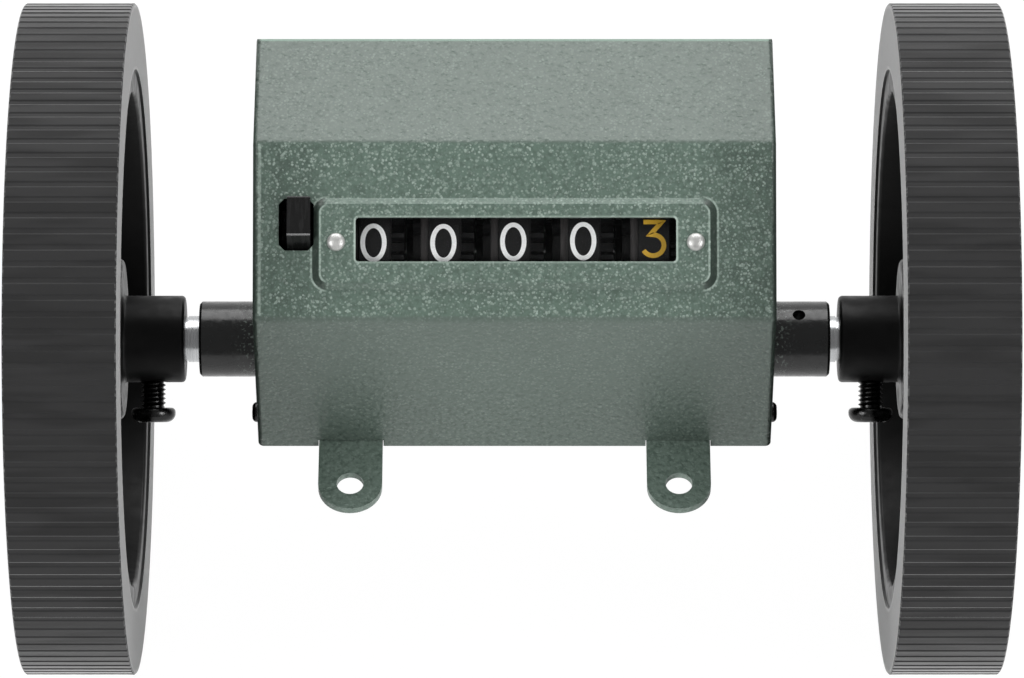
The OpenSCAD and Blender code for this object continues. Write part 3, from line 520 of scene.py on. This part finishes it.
        # The window's cut edge, palest at its ends
        rim = self.outside(coat, (0.2 * MM, WINDOW_UP), WINDOW)
        rim = coat.product(coat.ranged(rim, 0.1 * MM, 0.42 * MM, 1, 0),
                           coat.ranged(wide, 24.3 * MM, 24.6 * MM, 0.3, 0.75))
        return coat.mixed(coat.sums("MAXIMUM", pale, rim), base, [c * 1.2 for c in fleck])

    def execute(self, context):
        coated(NODES["cover"], self.paint("hammer_green", 1.0, 0.3, True))
        # Painted light: the base frame's copy of the paint is 1.58 times paler, to light its tabs in the
        # housing's shadow
        coated(NODES["base_frame"], self.paint("hammer_green_base", 1.58, 0.4, False))
        return {"FINISHED"}


class COUNTER_OT_tubes(bpy.types.Operator):
    """Gloss black paint on the two bearing tubes, with green overspray by the housing"""
    bl_idname = "counter.tubes"
    bl_label = "Paint Bearing Tubes"

    def execute(self, context):
        look = context.scene.counter_paint
        coat = Finish("tube_black", roughness=0.24)
        near = coat.ranged(coat.size_of(coat.axis("X")), 40.3 * MM, 45 * MM, 0.9, 0.0)
        spray = coat.ranged(coat.noise(0.45 * MM, 2), 0.56, 0.68)
        coat.colour(coat.mixed(coat.product(near, spray), look.black, look.fleck))
        coat.rough(coat.ranged(coat.noise(1.2 * MM, 3), 0.3, 0.7, 0.14, 0.3))
        coat.bump(coat.noise(1.4 * MM, 2), 0.05 * MM, 0.6)
        for side in ("left", "right"):
            coated(NODES[side + "_bearing_tube"], coat.material)
        return {"FINISHED"}


class COUNTER_OT_metal(bpy.types.Operator):
    """Ground, plated, blackened and bright metals on the shafts, plates, clips, screws and rivets"""
    bl_idname = "counter.metal"
    bl_label = "Finish Metal Parts"

    def lathed(self, name, colour, roughness):
        """Metal with the fine rings of a lathe along X."""
        steel = Finish(name, roughness, 1.0)
        rings = steel.noise(0.12 * MM, 2, steel.turned(scale=(1, 0.02, 0.02)))
        stain = steel.noise(6 * MM, 3)
        steel.colour(steel.mixed(stain, [c * 0.85 for c in colour], colour))
        steel.rough(steel.ranged(rings, 0.3, 0.7, roughness * 0.7, roughness * 1.4))
        steel.bump(rings, 0.01 * MM, 0.4)
        return steel.material

    def sheet(self, name, colour, roughness):
        """Plated sheet, brushed along Y."""
        steel = Finish(name, roughness, 1.0)
        brush = steel.noise(0.25 * MM, 3, steel.turned(scale=(1, 0.06, 1)))
        steel.colour(steel.mixed(steel.noise(9 * MM, 3), [c * 0.8 for c in colour], colour))
        steel.rough(steel.ranged(brush, 0.3, 0.7, roughness * 0.75, roughness * 1.3))
        steel.bump(brush, 0.008 * MM, 0.4)
        return steel.material

    def black(self):
        """Black oxide, rubbed through here and there."""
        steel = Finish("blackened_screw", 0.3, 1.0)
        wear = steel.ranged(steel.noise(0.8 * MM, 3), 0.62, 0.74, 0, 0.5)
        steel.colour(steel.mixed(wear, (0.035, 0.035, 0.035), (0.16, 0.155, 0.15)))
        steel.rough(steel.ranged(steel.noise(0.5 * MM, 2), 0.3, 0.7, 0.2, 0.38))
        return steel.material

    def rivet(self):
        """Bright metal with a dull skin."""
        metal = Finish("rivet_bright", 0.5, 0.7)
        metal.colour(metal.mixed(metal.noise(0.7 * MM, 3), (0.42, 0.42, 0.41), (0.68, 0.68, 0.66)))
        metal.rough(metal.ranged(metal.noise(0.4 * MM, 3), 0.3, 0.7, 0.36, 0.56))
        metal.bump(metal.noise(0.5 * MM, 2), 0.02 * MM, 0.5)
        return metal.material

    def execute(self, context):
        shaft = self.lathed("ground_steel", (0.56, 0.57, 0.58), 0.26)
        plated = self.sheet("plated_sheet", (0.55, 0.56, 0.56), 0.34)
        spring = self.lathed("spring_wire", (0.42, 0.42, 0.42), 0.3)
        for name in ("wheel_shaft", "drum_shaft", "pinion_shaft", "reset_rod", "idler_stud"):
            coated(NODES[name], shaft)
        for name in ("left_side_plate", "right_side_plate", "frame_screws", "reset_lever"):
            coated(NODES[name], plated)
        for name in ("idler_clip", "shaft_clips", "rod_clips"):
            coated(NODES[name], spring)
        coated(NODES["cover_screws"], self.black())
        coated(NODES["face_rivets"], self.rivet())
        return {"FINISHED"}


class COUNTER_OT_wheels(bpy.types.Operator):
    """Satin black on the wheel discs and ribbed rubber on the tyres"""
    bl_idname = "counter.wheels"
    bl_label = "Finish Wheels"

    def disc(self, look):
        """Satin black, with a pale speckled ring round the inner boss, and the rim painted the tyre side's
        colour, painted light included.
        """
        coat = Finish("disc_black", 0.46, Specular_IOR_Level=0.19)
        far = coat.radius(SHAFT)
        out = coat.size_of(coat.axis("X"))
        boss_speckle = coat.product(coat.ranged(far, BOSS_R - 0.4 * MM, BOSS_R + 0.4 * MM, 1, 0),
                             coat.ranged(far, 9.5 * MM, 12.3 * MM),
                             coat.ranged(out, 62.5 * MM, 65 * MM, 1, 0),
                             coat.ranged(coat.noise(0.6 * MM, 4), 0.5, 0.62), 0.9)
        base = coat.mixed(boss_speckle, look.disc, (0.13, 0.13, 0.13))
        # The rim face takes the rubber colour, with the same painted light as the tyres' sides
        rim = coat.product(coat.ranged(coat.size_of(coat.facing("X")), 0.6, 0.9),
                           coat.ranged(far, RIM_R, RIM_R + 0.3 * MM))
        coat.colour(coat.mixed(rim, base, [c * look.side_painted_light for c in look.rubber]))
        coat.rough(coat.ranged(coat.noise(2.2 * MM, 3), 0.3, 0.7, 0.34, 0.5))
        coat.bump(coat.noise(0.8 * MM, 3), 0.04 * MM, 0.35)
        return coat.material

    def rubber(self, look):
        """Rubber with bands across the tread, paler between the ribs, sides painted paler for the light
        they catch, and crumbled edges.
        """
        coat = Finish("tyre_rubber", 0.5, Specular_IOR_Level=0.2, Sheen_Weight=0.65, Sheen_Roughness=0.3)
        far = coat.radius(SHAFT)
        cloud = coat.noise(11 * MM, 3)
        base = coat.mixed(cloud, [c * 0.85 for c in look.rubber], [c * 1.15 for c in look.rubber])
        band = coat.noise(2.4 * MM, 1, coat.turned(scale=(0.12, 1, 1)))
        base = coat.mixed(coat.ranged(band, 0.42, 0.62, 0, 0.5), base, [c * 0.45 for c in look.rubber])
        # Paler between the ribs: partly dust, partly painted light that cancels the grooves' shade
        groove = coat.ranged(far, RIB_FOOT_R - 0.13 * MM, RIB_FOOT_R + 0.13 * MM, 1, 0)
        dust = coat.ranged(coat.noise(3 * MM, 2, coat.turned(scale=(0.4, 1, 1))), 0.3, 0.7, 0.1, 0.9)
        base = coat.mixed(coat.product(groove, dust), base, [c * 1.2 for c in look.rubber])

        # Painted light: the sides are painted paler than the tread, for the light they catch at a slant;
        # darker patches then mottle them
        side = coat.ranged(coat.size_of(coat.facing("X")), 0.6, 0.9)
        base = coat.mixed(side, base, [c * look.side_painted_light for c in look.rubber])
        patches = coat.ranged(coat.noise(1.6 * MM, 4), 0.42, 0.62, 0, 0.7)
        base = coat.mixed(coat.product(side, patches), base, [c * 0.3 for c in look.rubber])
        edge = coat.sums("MAXIMUM", coat.ranged(far, EDGE_R, EDGE_R + 0.4 * MM),
                         coat.ranged(far, LIP_R, LIP_R + 0.4 * MM, 1, 0))
        crumbs = coat.ranged(coat.noise(0.5 * MM, 3), 0.45, 0.6, 0.1, 0.9)
        coat.colour(coat.mixed(coat.product(side, edge, crumbs), base, (0.3, 0.3, 0.3)))
        coat.rough(coat.sums("MAXIMUM", coat.ranged(band, 0.3, 0.7, 0.54, 0.66), coat.product(side, 0.95)))
        coat.bump(coat.noise(0.5 * MM, 3), 0.03 * MM, 0.5)
        return coat.material

    def execute(self, context):
        look = context.scene.counter_wheels
        disc, rubber = self.disc(look), self.rubber(look)
        for side in ("left", "right"):
            coated(NODES[side + "_wheel_disc"], disc)
            coated(NODES[side + "_tyre"], rubber)
        return {"FINISHED"}


class COUNTER_OT_set_screws(bpy.types.Operator):
    """Threaded set screws with slotted pan heads, one in each hub"""
    bl_idname = "counter.set_screws"
    bl_label = "Make Set Screws"

    HEAD_R, HEAD_H, SLOT_W = 3.5 * MM, 2.3 * MM, 1.0 * MM
    SHANK_R, SHANK_L = 1.62 * MM, 7.2 * MM
    THREAD_R, THREAD_H, THREAD_L = 1.98 * MM, 0.42 * MM, 7.0 * MM
    # How far the heads' undersides stand from the shaft's axis, and how far the screws point down
    SEAT, LEAN = 10.85 * MM, math.radians(40)

    def thread(self, pitch):
        """A helical ridge from zero up along Z, with its root just inside the shank."""
        ridge = section(4, self.THREAD_H, self.THREAD_R - self.THREAD_H)
        ridge.data.transform(Matrix.Diagonal((1, 1, pitch / 2 / self.THREAD_H * 0.86, 1)))
        modified(ridge, "SCREW", axis="Z", screw_offset=pitch, iterations=int(self.THREAD_L / pitch),
                 steps=24, render_steps=24, use_merge_vertices=True, merge_threshold=1e-7)
        close_ends(ridge)
        return ridge

    def head(self):
        """A pan head that stands on zero, with a slot across its top."""
        bpy.ops.object.select_all(action="DESELECT")
        bpy.ops.mesh.primitive_cylinder_add(vertices=48, radius=self.HEAD_R, depth=self.HEAD_H,
                                            location=(0, 0, self.HEAD_H / 2))
        head = bpy.context.object
        bpy.ops.object.transform_apply(location=True, rotation=True, scale=True)
        bevelled(head, lambda middle: middle.z > self.HEAD_H * 0.9, self.HEAD_H * 0.62, 8)
        bevelled(head, lambda middle: middle.z < self.HEAD_H * 0.1, self.HEAD_H * 0.3, 5)
        bpy.ops.object.select_all(action="DESELECT")
        bpy.ops.mesh.primitive_cube_add(size=1, location=(0, 0, self.HEAD_H))
        cutter = bpy.context.object
        cutter.scale = (3 * self.HEAD_R, self.SLOT_W, self.HEAD_H)
        bpy.ops.object.transform_apply(location=True, rotation=True, scale=True)
        modified(head, "BOOLEAN", object=cutter, operation="DIFFERENCE", solver="EXACT")
        bpy.data.objects.remove(cutter)
        return head

    def shank(self):
        """The shank, with a small chamfer at its tip."""
        bpy.ops.object.select_all(action="DESELECT")
        bpy.ops.mesh.primitive_cylinder_add(vertices=32, radius=self.SHANK_R, depth=self.SHANK_L + 0.1 * MM,
                                            location=(0, 0, -self.SHANK_L / 2 + 0.05 * MM))
        shank = bpy.context.object
        bpy.ops.object.transform_apply(location=True, rotation=True, scale=True)
        bevelled(shank, lambda middle: middle.z < -self.SHANK_L * 0.9, 0.3 * MM, 2)
        return shank

    def execute(self, context):
        look = context.scene.counter_wheels
        middle = wheel_middle()
        black = bpy.data.materials["blackened_screw"]
        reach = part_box("set_screws")[1].x - self.HEAD_R - middle.x
        down = Vector((0, -math.cos(self.LEAN), -math.sin(self.LEAN)))
        made = []
        for side, name in ((-1, "left_set_screw"), (1, "right_set_screw")):
            head, shank, ridge = self.head(), self.shank(), self.thread(look.thread_pitch)
            ridge.location.z = 0.1 * MM - self.SHANK_L
            only(head, shank, ridge)
            bpy.ops.object.join()
            screw = bpy.context.object
            turn = Vector((0, 0, 1)).rotation_difference(down).to_matrix().to_4x4()
            spot = middle + Vector((side * reach, 0, 0)) + down * self.SEAT
            screw.data.transform(Matrix.Translation(spot) @ turn @ Matrix.Rotation(side * 0.5, 4, "Z"))
            settled(screw, name)
            coated(screw, black)
            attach(screw, "wheels")
            made.append(screw)
        for screw in made:
            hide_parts("set_screws")
        return {"FINISHED"}


class COUNTER_OT_reset_spring(bpy.types.Operator):
    """Round-wire coil spring under the reset lever"""
    bl_idname = "counter.reset_spring"
    bl_label = "Make Reset Spring"

    WIRE_R, WIRE_SIDES = 0.22 * MM, 12
    TURNS, STEPS = 5, 32

    def execute(self, context):
        low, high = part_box("reset_spring")
        middle = (low + high) / 2
        # The box is that of a wire with a few flat sides, so the round wire reaches a little past it
        foot, head = low.z - 0.035 * MM + self.WIRE_R, high.z + 0.03 * MM - self.WIRE_R
        coil = section(self.WIRE_SIDES, self.WIRE_R, (high.x - low.x) / 2 - self.WIRE_R)
        modified(coil, "SCREW", axis="Z", screw_offset=0, iterations=self.TURNS, steps=self.STEPS,
                 render_steps=self.STEPS)
        # The first and last half turns lie flat, and the wire climbs evenly between them
        for v in coil.data.vertices:
            step = v.index // self.WIRE_SIDES
            climb = min(1, max(0, (step - self.STEPS / 2) / (self.STEPS * (self.TURNS - 1))))
            v.co += Vector((middle.x, middle.y, foot + (head - foot) * climb))
        close_ends(coil)
        settled(coil, "coil_spring")
        coated(coil, bpy.data.materials["spring_wire"])
        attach(coil, "housing")
        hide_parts("reset_spring")
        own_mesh(coil)
        return {"FINISHED"}


class COUNTER_OT_drums(bpy.types.Operator):
    """Satin black plastic on the number drums, with worn ring edges"""
    bl_idname = "counter.drums"
    bl_label = "Finish Drums"

    def execute(self, context):
        coat = Finish("drum_black", 0.5, Specular_IOR_Level=0.3)
        far = coat.radius(DRUMS)
        dust = coat.ranged(coat.noise(1.3 * MM, 4), 0.45, 0.75, 0, 0.5)
        base = coat.mixed(dust, (0.0065, 0.0065, 0.007), (0.014, 0.014, 0.0145))
        streak = coat.noise(0.5 * MM, 3, coat.turned(scale=(1, 0.1, 0.1)))
        ring = coat.product(coat.ranged(far, 11.9 * MM, 12.05 * MM),
                            coat.ranged(far, 12.2 * MM, 12.35 * MM, 1, 0),
                            coat.ranged(streak, 0.3, 0.7, 0.3, 1.0))
        coat.colour(coat.mixed(ring, base, (0.035, 0.032, 0.032)))
        coat.rough(coat.ranged(streak, 0.3, 0.7, 0.32, 0.5))
        coat.bump(streak, 0.01 * MM, 0.4)
        for place in PLACES:
            coated(NODES[place + "_drum"], coat.material)
        return {"FINISHED"}


class COUNTER_OT_figures(bpy.types.Operator):
    """Painted figures 0 to 9 round each drum, white for whole metres and yellow for tenths"""
    bl_idname = "counter.figures"
    bl_label = "Make Figures"

    def strip(self, mesh, line, wrap):
        """One brush stroke along a centre line, laid on the drum through wrap."""
        fine = [Vector(line[0])]
        for a, b in zip(line, line[1:]):
            a, b = Vector(a), Vector(b)
            parts = max(1, math.ceil((b - a).length / 0.6))
            fine += [a.lerp(b, (i + 1) / parts) for i in range(parts)]
        closed = (fine[0] - fine[-1]).length < 1e-4
        if closed:
            fine.pop()
        count = len(fine)
        sides = []
        for i, spot in enumerate(fine):
            before = fine[i - 1] if closed or i else None
            after = fine[(i + 1) % count] if closed or i < count - 1 else None
            u = (spot - before).normalized() if before else (after - spot).normalized()
            v = (after - spot).normalized() if after else u
            mitre = Vector((-(u.y + v.y), u.x + v.x)).normalized()
            reach = min(STROKE / 2 / max(0.35, mitre.dot(Vector((-u.y, u.x)))), STROKE)
            sides.append([mesh.verts.new(wrap(spot + mitre * reach * way)) for way in (1, -1)])
        for i in range(count if closed else count - 1):
            a, b = sides[i], sides[(i + 1) % count]
            mesh.faces.new((a[0], a[1], b[1], b[0]))

    def ink(self, name, tint):
        """Matt ink, a little worn."""
        paint = Finish(name, 0.5)
        wear = paint.ranged(paint.noise(0.35 * MM, 3), 0.3, 0.75, 0, 0.4)
        paint.colour(paint.mixed(wear, tint, [c * 0.72 for c in tint]))
        paint.bump(paint.noise(0.3 * MM), 0.01 * MM, 0.5)
        return paint.material

    def band(self, look, k):
        """The ten figures of drum k as one mesh of strokes."""
        middle = DRUM_START + DRUM_STEP * k
        out = DRUM_R + 0.2 * look.thickness
        mesh = bmesh.new()
        for digit, lines in enumerate(figure_lines()):
            turn = look.height[k] + math.radians(36) * (digit - look.reading[k])

            def wrap(p):
                a = turn + p.y * MM / DRUM_R
                return Vector((middle + p.x * MM, DRUMS.y - out * math.cos(a), DRUMS.z + out * math.sin(a)))

            for line in lines:
                self.strip(mesh, line, wrap)
        mesh.normal_update()
        return mesh

    def execute(self, context):
        look = context.scene.counter_figures
        inks = [self.ink("figure_white", look.white), self.ink("figure_yellow", look.yellow)]
        for k, place in enumerate(PLACES):
            name = place + "_figures"
            mesh = self.band(look, k)
            data = bpy.data.meshes.new(name)
            mesh.to_mesh(data)
            mesh.free()
            figures = bpy.data.objects.new(name, data)
            context.scene.collection.objects.link(figures)
            modified(figures, "SOLIDIFY", thickness=look.thickness, offset=1.0)
            settled(figures, name)
            coated(figures, inks[place == "tenths"])
            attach(figures, name)
        return {"FINISHED"}


class COUNTER_OT_reset_key(bpy.types.Operator):
    """Moulded black plastic on the reset key"""
    bl_idname = "counter.reset_key"
    bl_label = "Finish Reset Key"

    def execute(self, context):
        plastic = Finish("key_black", 0.25, Specular_IOR_Level=0.4)
        marks = plastic.noise(0.5 * MM, 4, plastic.turned(scale=(1, 0.15, 0.15)))
        base = plastic.mixed(plastic.ranged(marks, 0.5, 0.75, 0, 0.6), (0.006, 0.006, 0.006),
                             (0.016, 0.016, 0.0165))
        # Painted highlights: its front edge and left side are painted pale, where the light catches them
        up, side = plastic.facing("Z"), plastic.facing("X")
        front = plastic.product(plastic.ranged(up, 0.12, 0.3), plastic.ranged(up, 0.66, 0.78, 1, 0),
                                plastic.ranged(plastic.facing("Y"), -0.7, -0.5, 1, 0))
        left = plastic.product(plastic.ranged(side, -0.4, -0.2, 1, 0),
                               plastic.ranged(side, -0.95, -0.8, 0, 0.3))
        plastic.colour(plastic.mixed(plastic.sums("MAXIMUM", front, left), base, (0.22, 0.22, 0.22)))
        plastic.rough(plastic.ranged(marks, 0.3, 0.7, 0.18, 0.32))
        plastic.bump(plastic.noise(0.6 * MM), 0.012 * MM, 0.4)
        coated(NODES["reset_key"], plastic.material)
        return {"FINISHED"}


class COUNTER_OT_gears(bpy.types.Operator):
    """Cut brass on the drive gear and moulded plastic on the idler and the pinions"""
    bl_idname = "counter.gears"
    bl_label = "Finish Gears"

    def execute(self, context):
        brass = Finish("gear_brass", 0.32, 1.0)
        cut = brass.noise(0.3 * MM, 3, brass.turned(scale=(0.1, 1, 1)))
        brass.colour(brass.mixed(brass.noise(4 * MM, 3), (0.42, 0.29, 0.11), (0.58, 0.43, 0.19)))
        brass.rough(brass.ranged(cut, 0.3, 0.7, 0.24, 0.42))
        nylon = Finish("gear_nylon", 0.45, Subsurface_Weight=0.05)
        nylon.colour(nylon.mixed(nylon.noise(5 * MM, 3), (0.58, 0.54, 0.43), (0.66, 0.62, 0.5)))
        nylon.bump(nylon.noise(0.8 * MM, 2), 0.01 * MM, 0.4)
        coated(NODES["drive_gear"], brass.material)
        for name in ["idler_gear"] + [place + "_pinion" for place in PLACES[:-1]]:
            coated(NODES[name], nylon.material)
        return {"FINISHED"}


class COUNTER_OT_pane(bpy.types.Operator):
    """Clear pane behind the window"""
    bl_idname = "counter.pane"
    bl_label = "Finish Window Pane"

    def execute(self, context):
        clear = Finish("clear_pane", 0.06, Alpha=0.03, Specular_IOR_Level=0.3)
        clear.colour(clear.mixed(clear.noise(8 * MM, 2), (0.02, 0.021, 0.021), (0.03, 0.031, 0.031)))
        clear.material.surface_render_method = "BLENDED"
        coated(NODES["window_pane"], clear.material)
        return {"FINISHED"}


class COUNTER_OT_stage(bpy.types.Operator):
    """Pale floor and backdrop, soft lamps and the camera"""
    bl_idname = "counter.stage"
    bl_label = "Set Stage"

    AIM = Vector((0, 0, 0.02))

    def lamp(self, name, spot, size, power):
        """A soft rectangular lamp, aimed at the counter."""
        bpy.ops.object.light_add(type="AREA", location=spot)
        lamp = bpy.context.object
        lamp.name = name
        lamp.data.shape = "RECTANGLE"
        lamp.data.size, lamp.data.size_y = size
        lamp.data.energy = power
        lamp.rotation_euler = (self.AIM - Vector(spot)).to_track_quat("-Z", "Y").to_euler()

    def wall(self, name, spot, rotation, material):
        """A large plane of the stage."""
        bpy.ops.object.select_all(action="DESELECT")
        bpy.ops.mesh.primitive_plane_add(size=6, location=spot, rotation=rotation)
        wall = bpy.context.object
        wall.name = name
        coated(wall, material)

    def paper(self):
        """Pale paper that the camera, metal and glass see as white, and that still takes the shadow."""
        paper = Finish("studio_floor", 0.8)
        paper.shader.inputs["Base Color"].default_value = (0.86, 0.86, 0.86, 1)
        glow = paper.node("Emission", {"Color": (1, 1, 1, 1), "Strength": 1.03})
        seen = paper.node("LightPath")
        either = paper.sums("MAXIMUM", seen.outputs["Is Camera Ray"], seen.outputs["Is Glossy Ray"])
        either = paper.sums("MAXIMUM", either, seen.outputs["Is Transmission Ray"])
        blend = paper.node("MixShader", {0: paper.product(either, 0.94)})
        paper.join(paper.shader.outputs[0], blend.inputs[1])
        paper.join(glow.outputs[0], blend.inputs[2])
        paper.join(blend.outputs[0], paper.nodes["Material Output"].inputs["Surface"])
        return paper.material

    def room(self, strength):
        """Even light all round, which the camera and glass see as white."""
        world = bpy.data.worlds.new("studio")
        world.use_nodes = True
        bpy.context.scene.world = world
        tree = world.node_tree
        back = tree.nodes["Background"]
        back.inputs["Color"].default_value = (1, 1, 1, 1)
        path = tree.nodes.new("ShaderNodeLightPath")
        white = tree.nodes.new("ShaderNodeMath")
        white.operation = "MAXIMUM"
        shown = tree.nodes.new("ShaderNodeMapRange")
        shown.inputs["To Min"].default_value = strength
        tree.links.new(path.outputs["Is Camera Ray"], white.inputs[0])
        tree.links.new(path.outputs["Is Transmission Ray"], white.inputs[1])
        tree.links.new(white.outputs[0], shown.inputs["Value"])
        tree.links.new(shown.outputs[0], back.inputs["Strength"])

    def camera(self, look):
        """The camera in front of the wheels' middle."""
        camera = bpy.data.objects.new("camera", bpy.data.cameras.new("camera"))
        bpy.context.scene.collection.objects.link(camera)
        camera.data.lens = look.lens
        camera.data.sensor_width = 36
        camera.data.clip_start, camera.data.clip_end = 0.05, 20
        back_off = Vector((0, -math.cos(look.elevation), math.sin(look.elevation)))
        camera.location = wheel_middle() + back_off * look.distance
        camera.rotation_euler = (-back_off).to_track_quat("-Z", "Y").to_euler()
        return camera

    def execute(self, context):
        look = context.scene.counter_stage
        paper = self.paper()
        self.wall("floor", (0, 0, CAD_BOX[0].z - 0.0002), (0, 0, 0), paper)
        self.wall("backdrop", (0, 2.9, 2.9), (math.radians(90), 0, 0), paper)
        self.room(look.room_light)
        self.lamp("top_lamp", (0, 0.8, 0.92), (1.6, 0.9), look.top_light)
        self.lamp("left_lamp", (-1.1, -0.72, 0.7), (0.6, 0.6), look.front_light)
        self.lamp("right_lamp", (1.1, -0.72, 0.7), (0.6, 0.6), look.front_light)
        context.scene.camera = self.camera(look)
        context.scene.view_settings.view_transform = "Standard"
        return {"FINISHED"}


class COUNTER_PT_panel(bpy.types.Panel):
    bl_label = "Length Counter"
    bl_idname = "COUNTER_PT_panel"
    bl_space_type = "VIEW_3D"
    bl_region_type = "UI"
    bl_category = "Counter"

    def draw(self, context):
        for step in STEPS:
            self.layout.operator(step.bl_idname)
        for name, group in SETTINGS.items():
            box = self.layout.box()
            for size in group.__annotations__:
                box.prop(getattr(context.scene, name), size)


SETTINGS = {
    "counter_paint": PaintSettings,
    "counter_wheels": WheelSettings,
    "counter_figures": FigureSettings,
    "counter_stage": StageSettings,
}
STEPS = [
    COUNTER_OT_stage,
    COUNTER_OT_housing,
    COUNTER_OT_tubes,
    COUNTER_OT_metal,
    COUNTER_OT_wheels,
    COUNTER_OT_set_screws,
    COUNTER_OT_reset_spring,
    COUNTER_OT_drums,
    COUNTER_OT_figures,
    COUNTER_OT_reset_key,
    COUNTER_OT_gears,
    COUNTER_OT_pane,
]


def register():
    for name, group in SETTINGS.items():
        bpy.utils.register_class(group)
        setattr(bpy.types.Scene, name, bpy.props.PointerProperty(type=group))
    for step in STEPS:
        bpy.utils.register_class(step)
    bpy.utils.register_class(COUNTER_PT_panel)


def unregister():
    bpy.utils.unregister_class(COUNTER_PT_panel)
    for step in reversed(STEPS):
        bpy.utils.unregister_class(step)
    for name, group in SETTINGS.items():
        delattr(bpy.types.Scene, name)
        bpy.utils.unregister_class(group)


def main():
    register()
    bpy.ops.counter.stage()
    bpy.ops.counter.housing()
    bpy.ops.counter.tubes()
    bpy.ops.counter.metal()
    bpy.ops.counter.wheels()
    bpy.ops.counter.set_screws()
    bpy.ops.counter.reset_spring()
    bpy.ops.counter.drums()
    bpy.ops.counter.figures()
    bpy.ops.counter.reset_key()
    bpy.ops.counter.gears()
    bpy.ops.counter.pane()


if __name__ == "__main__":
    main()
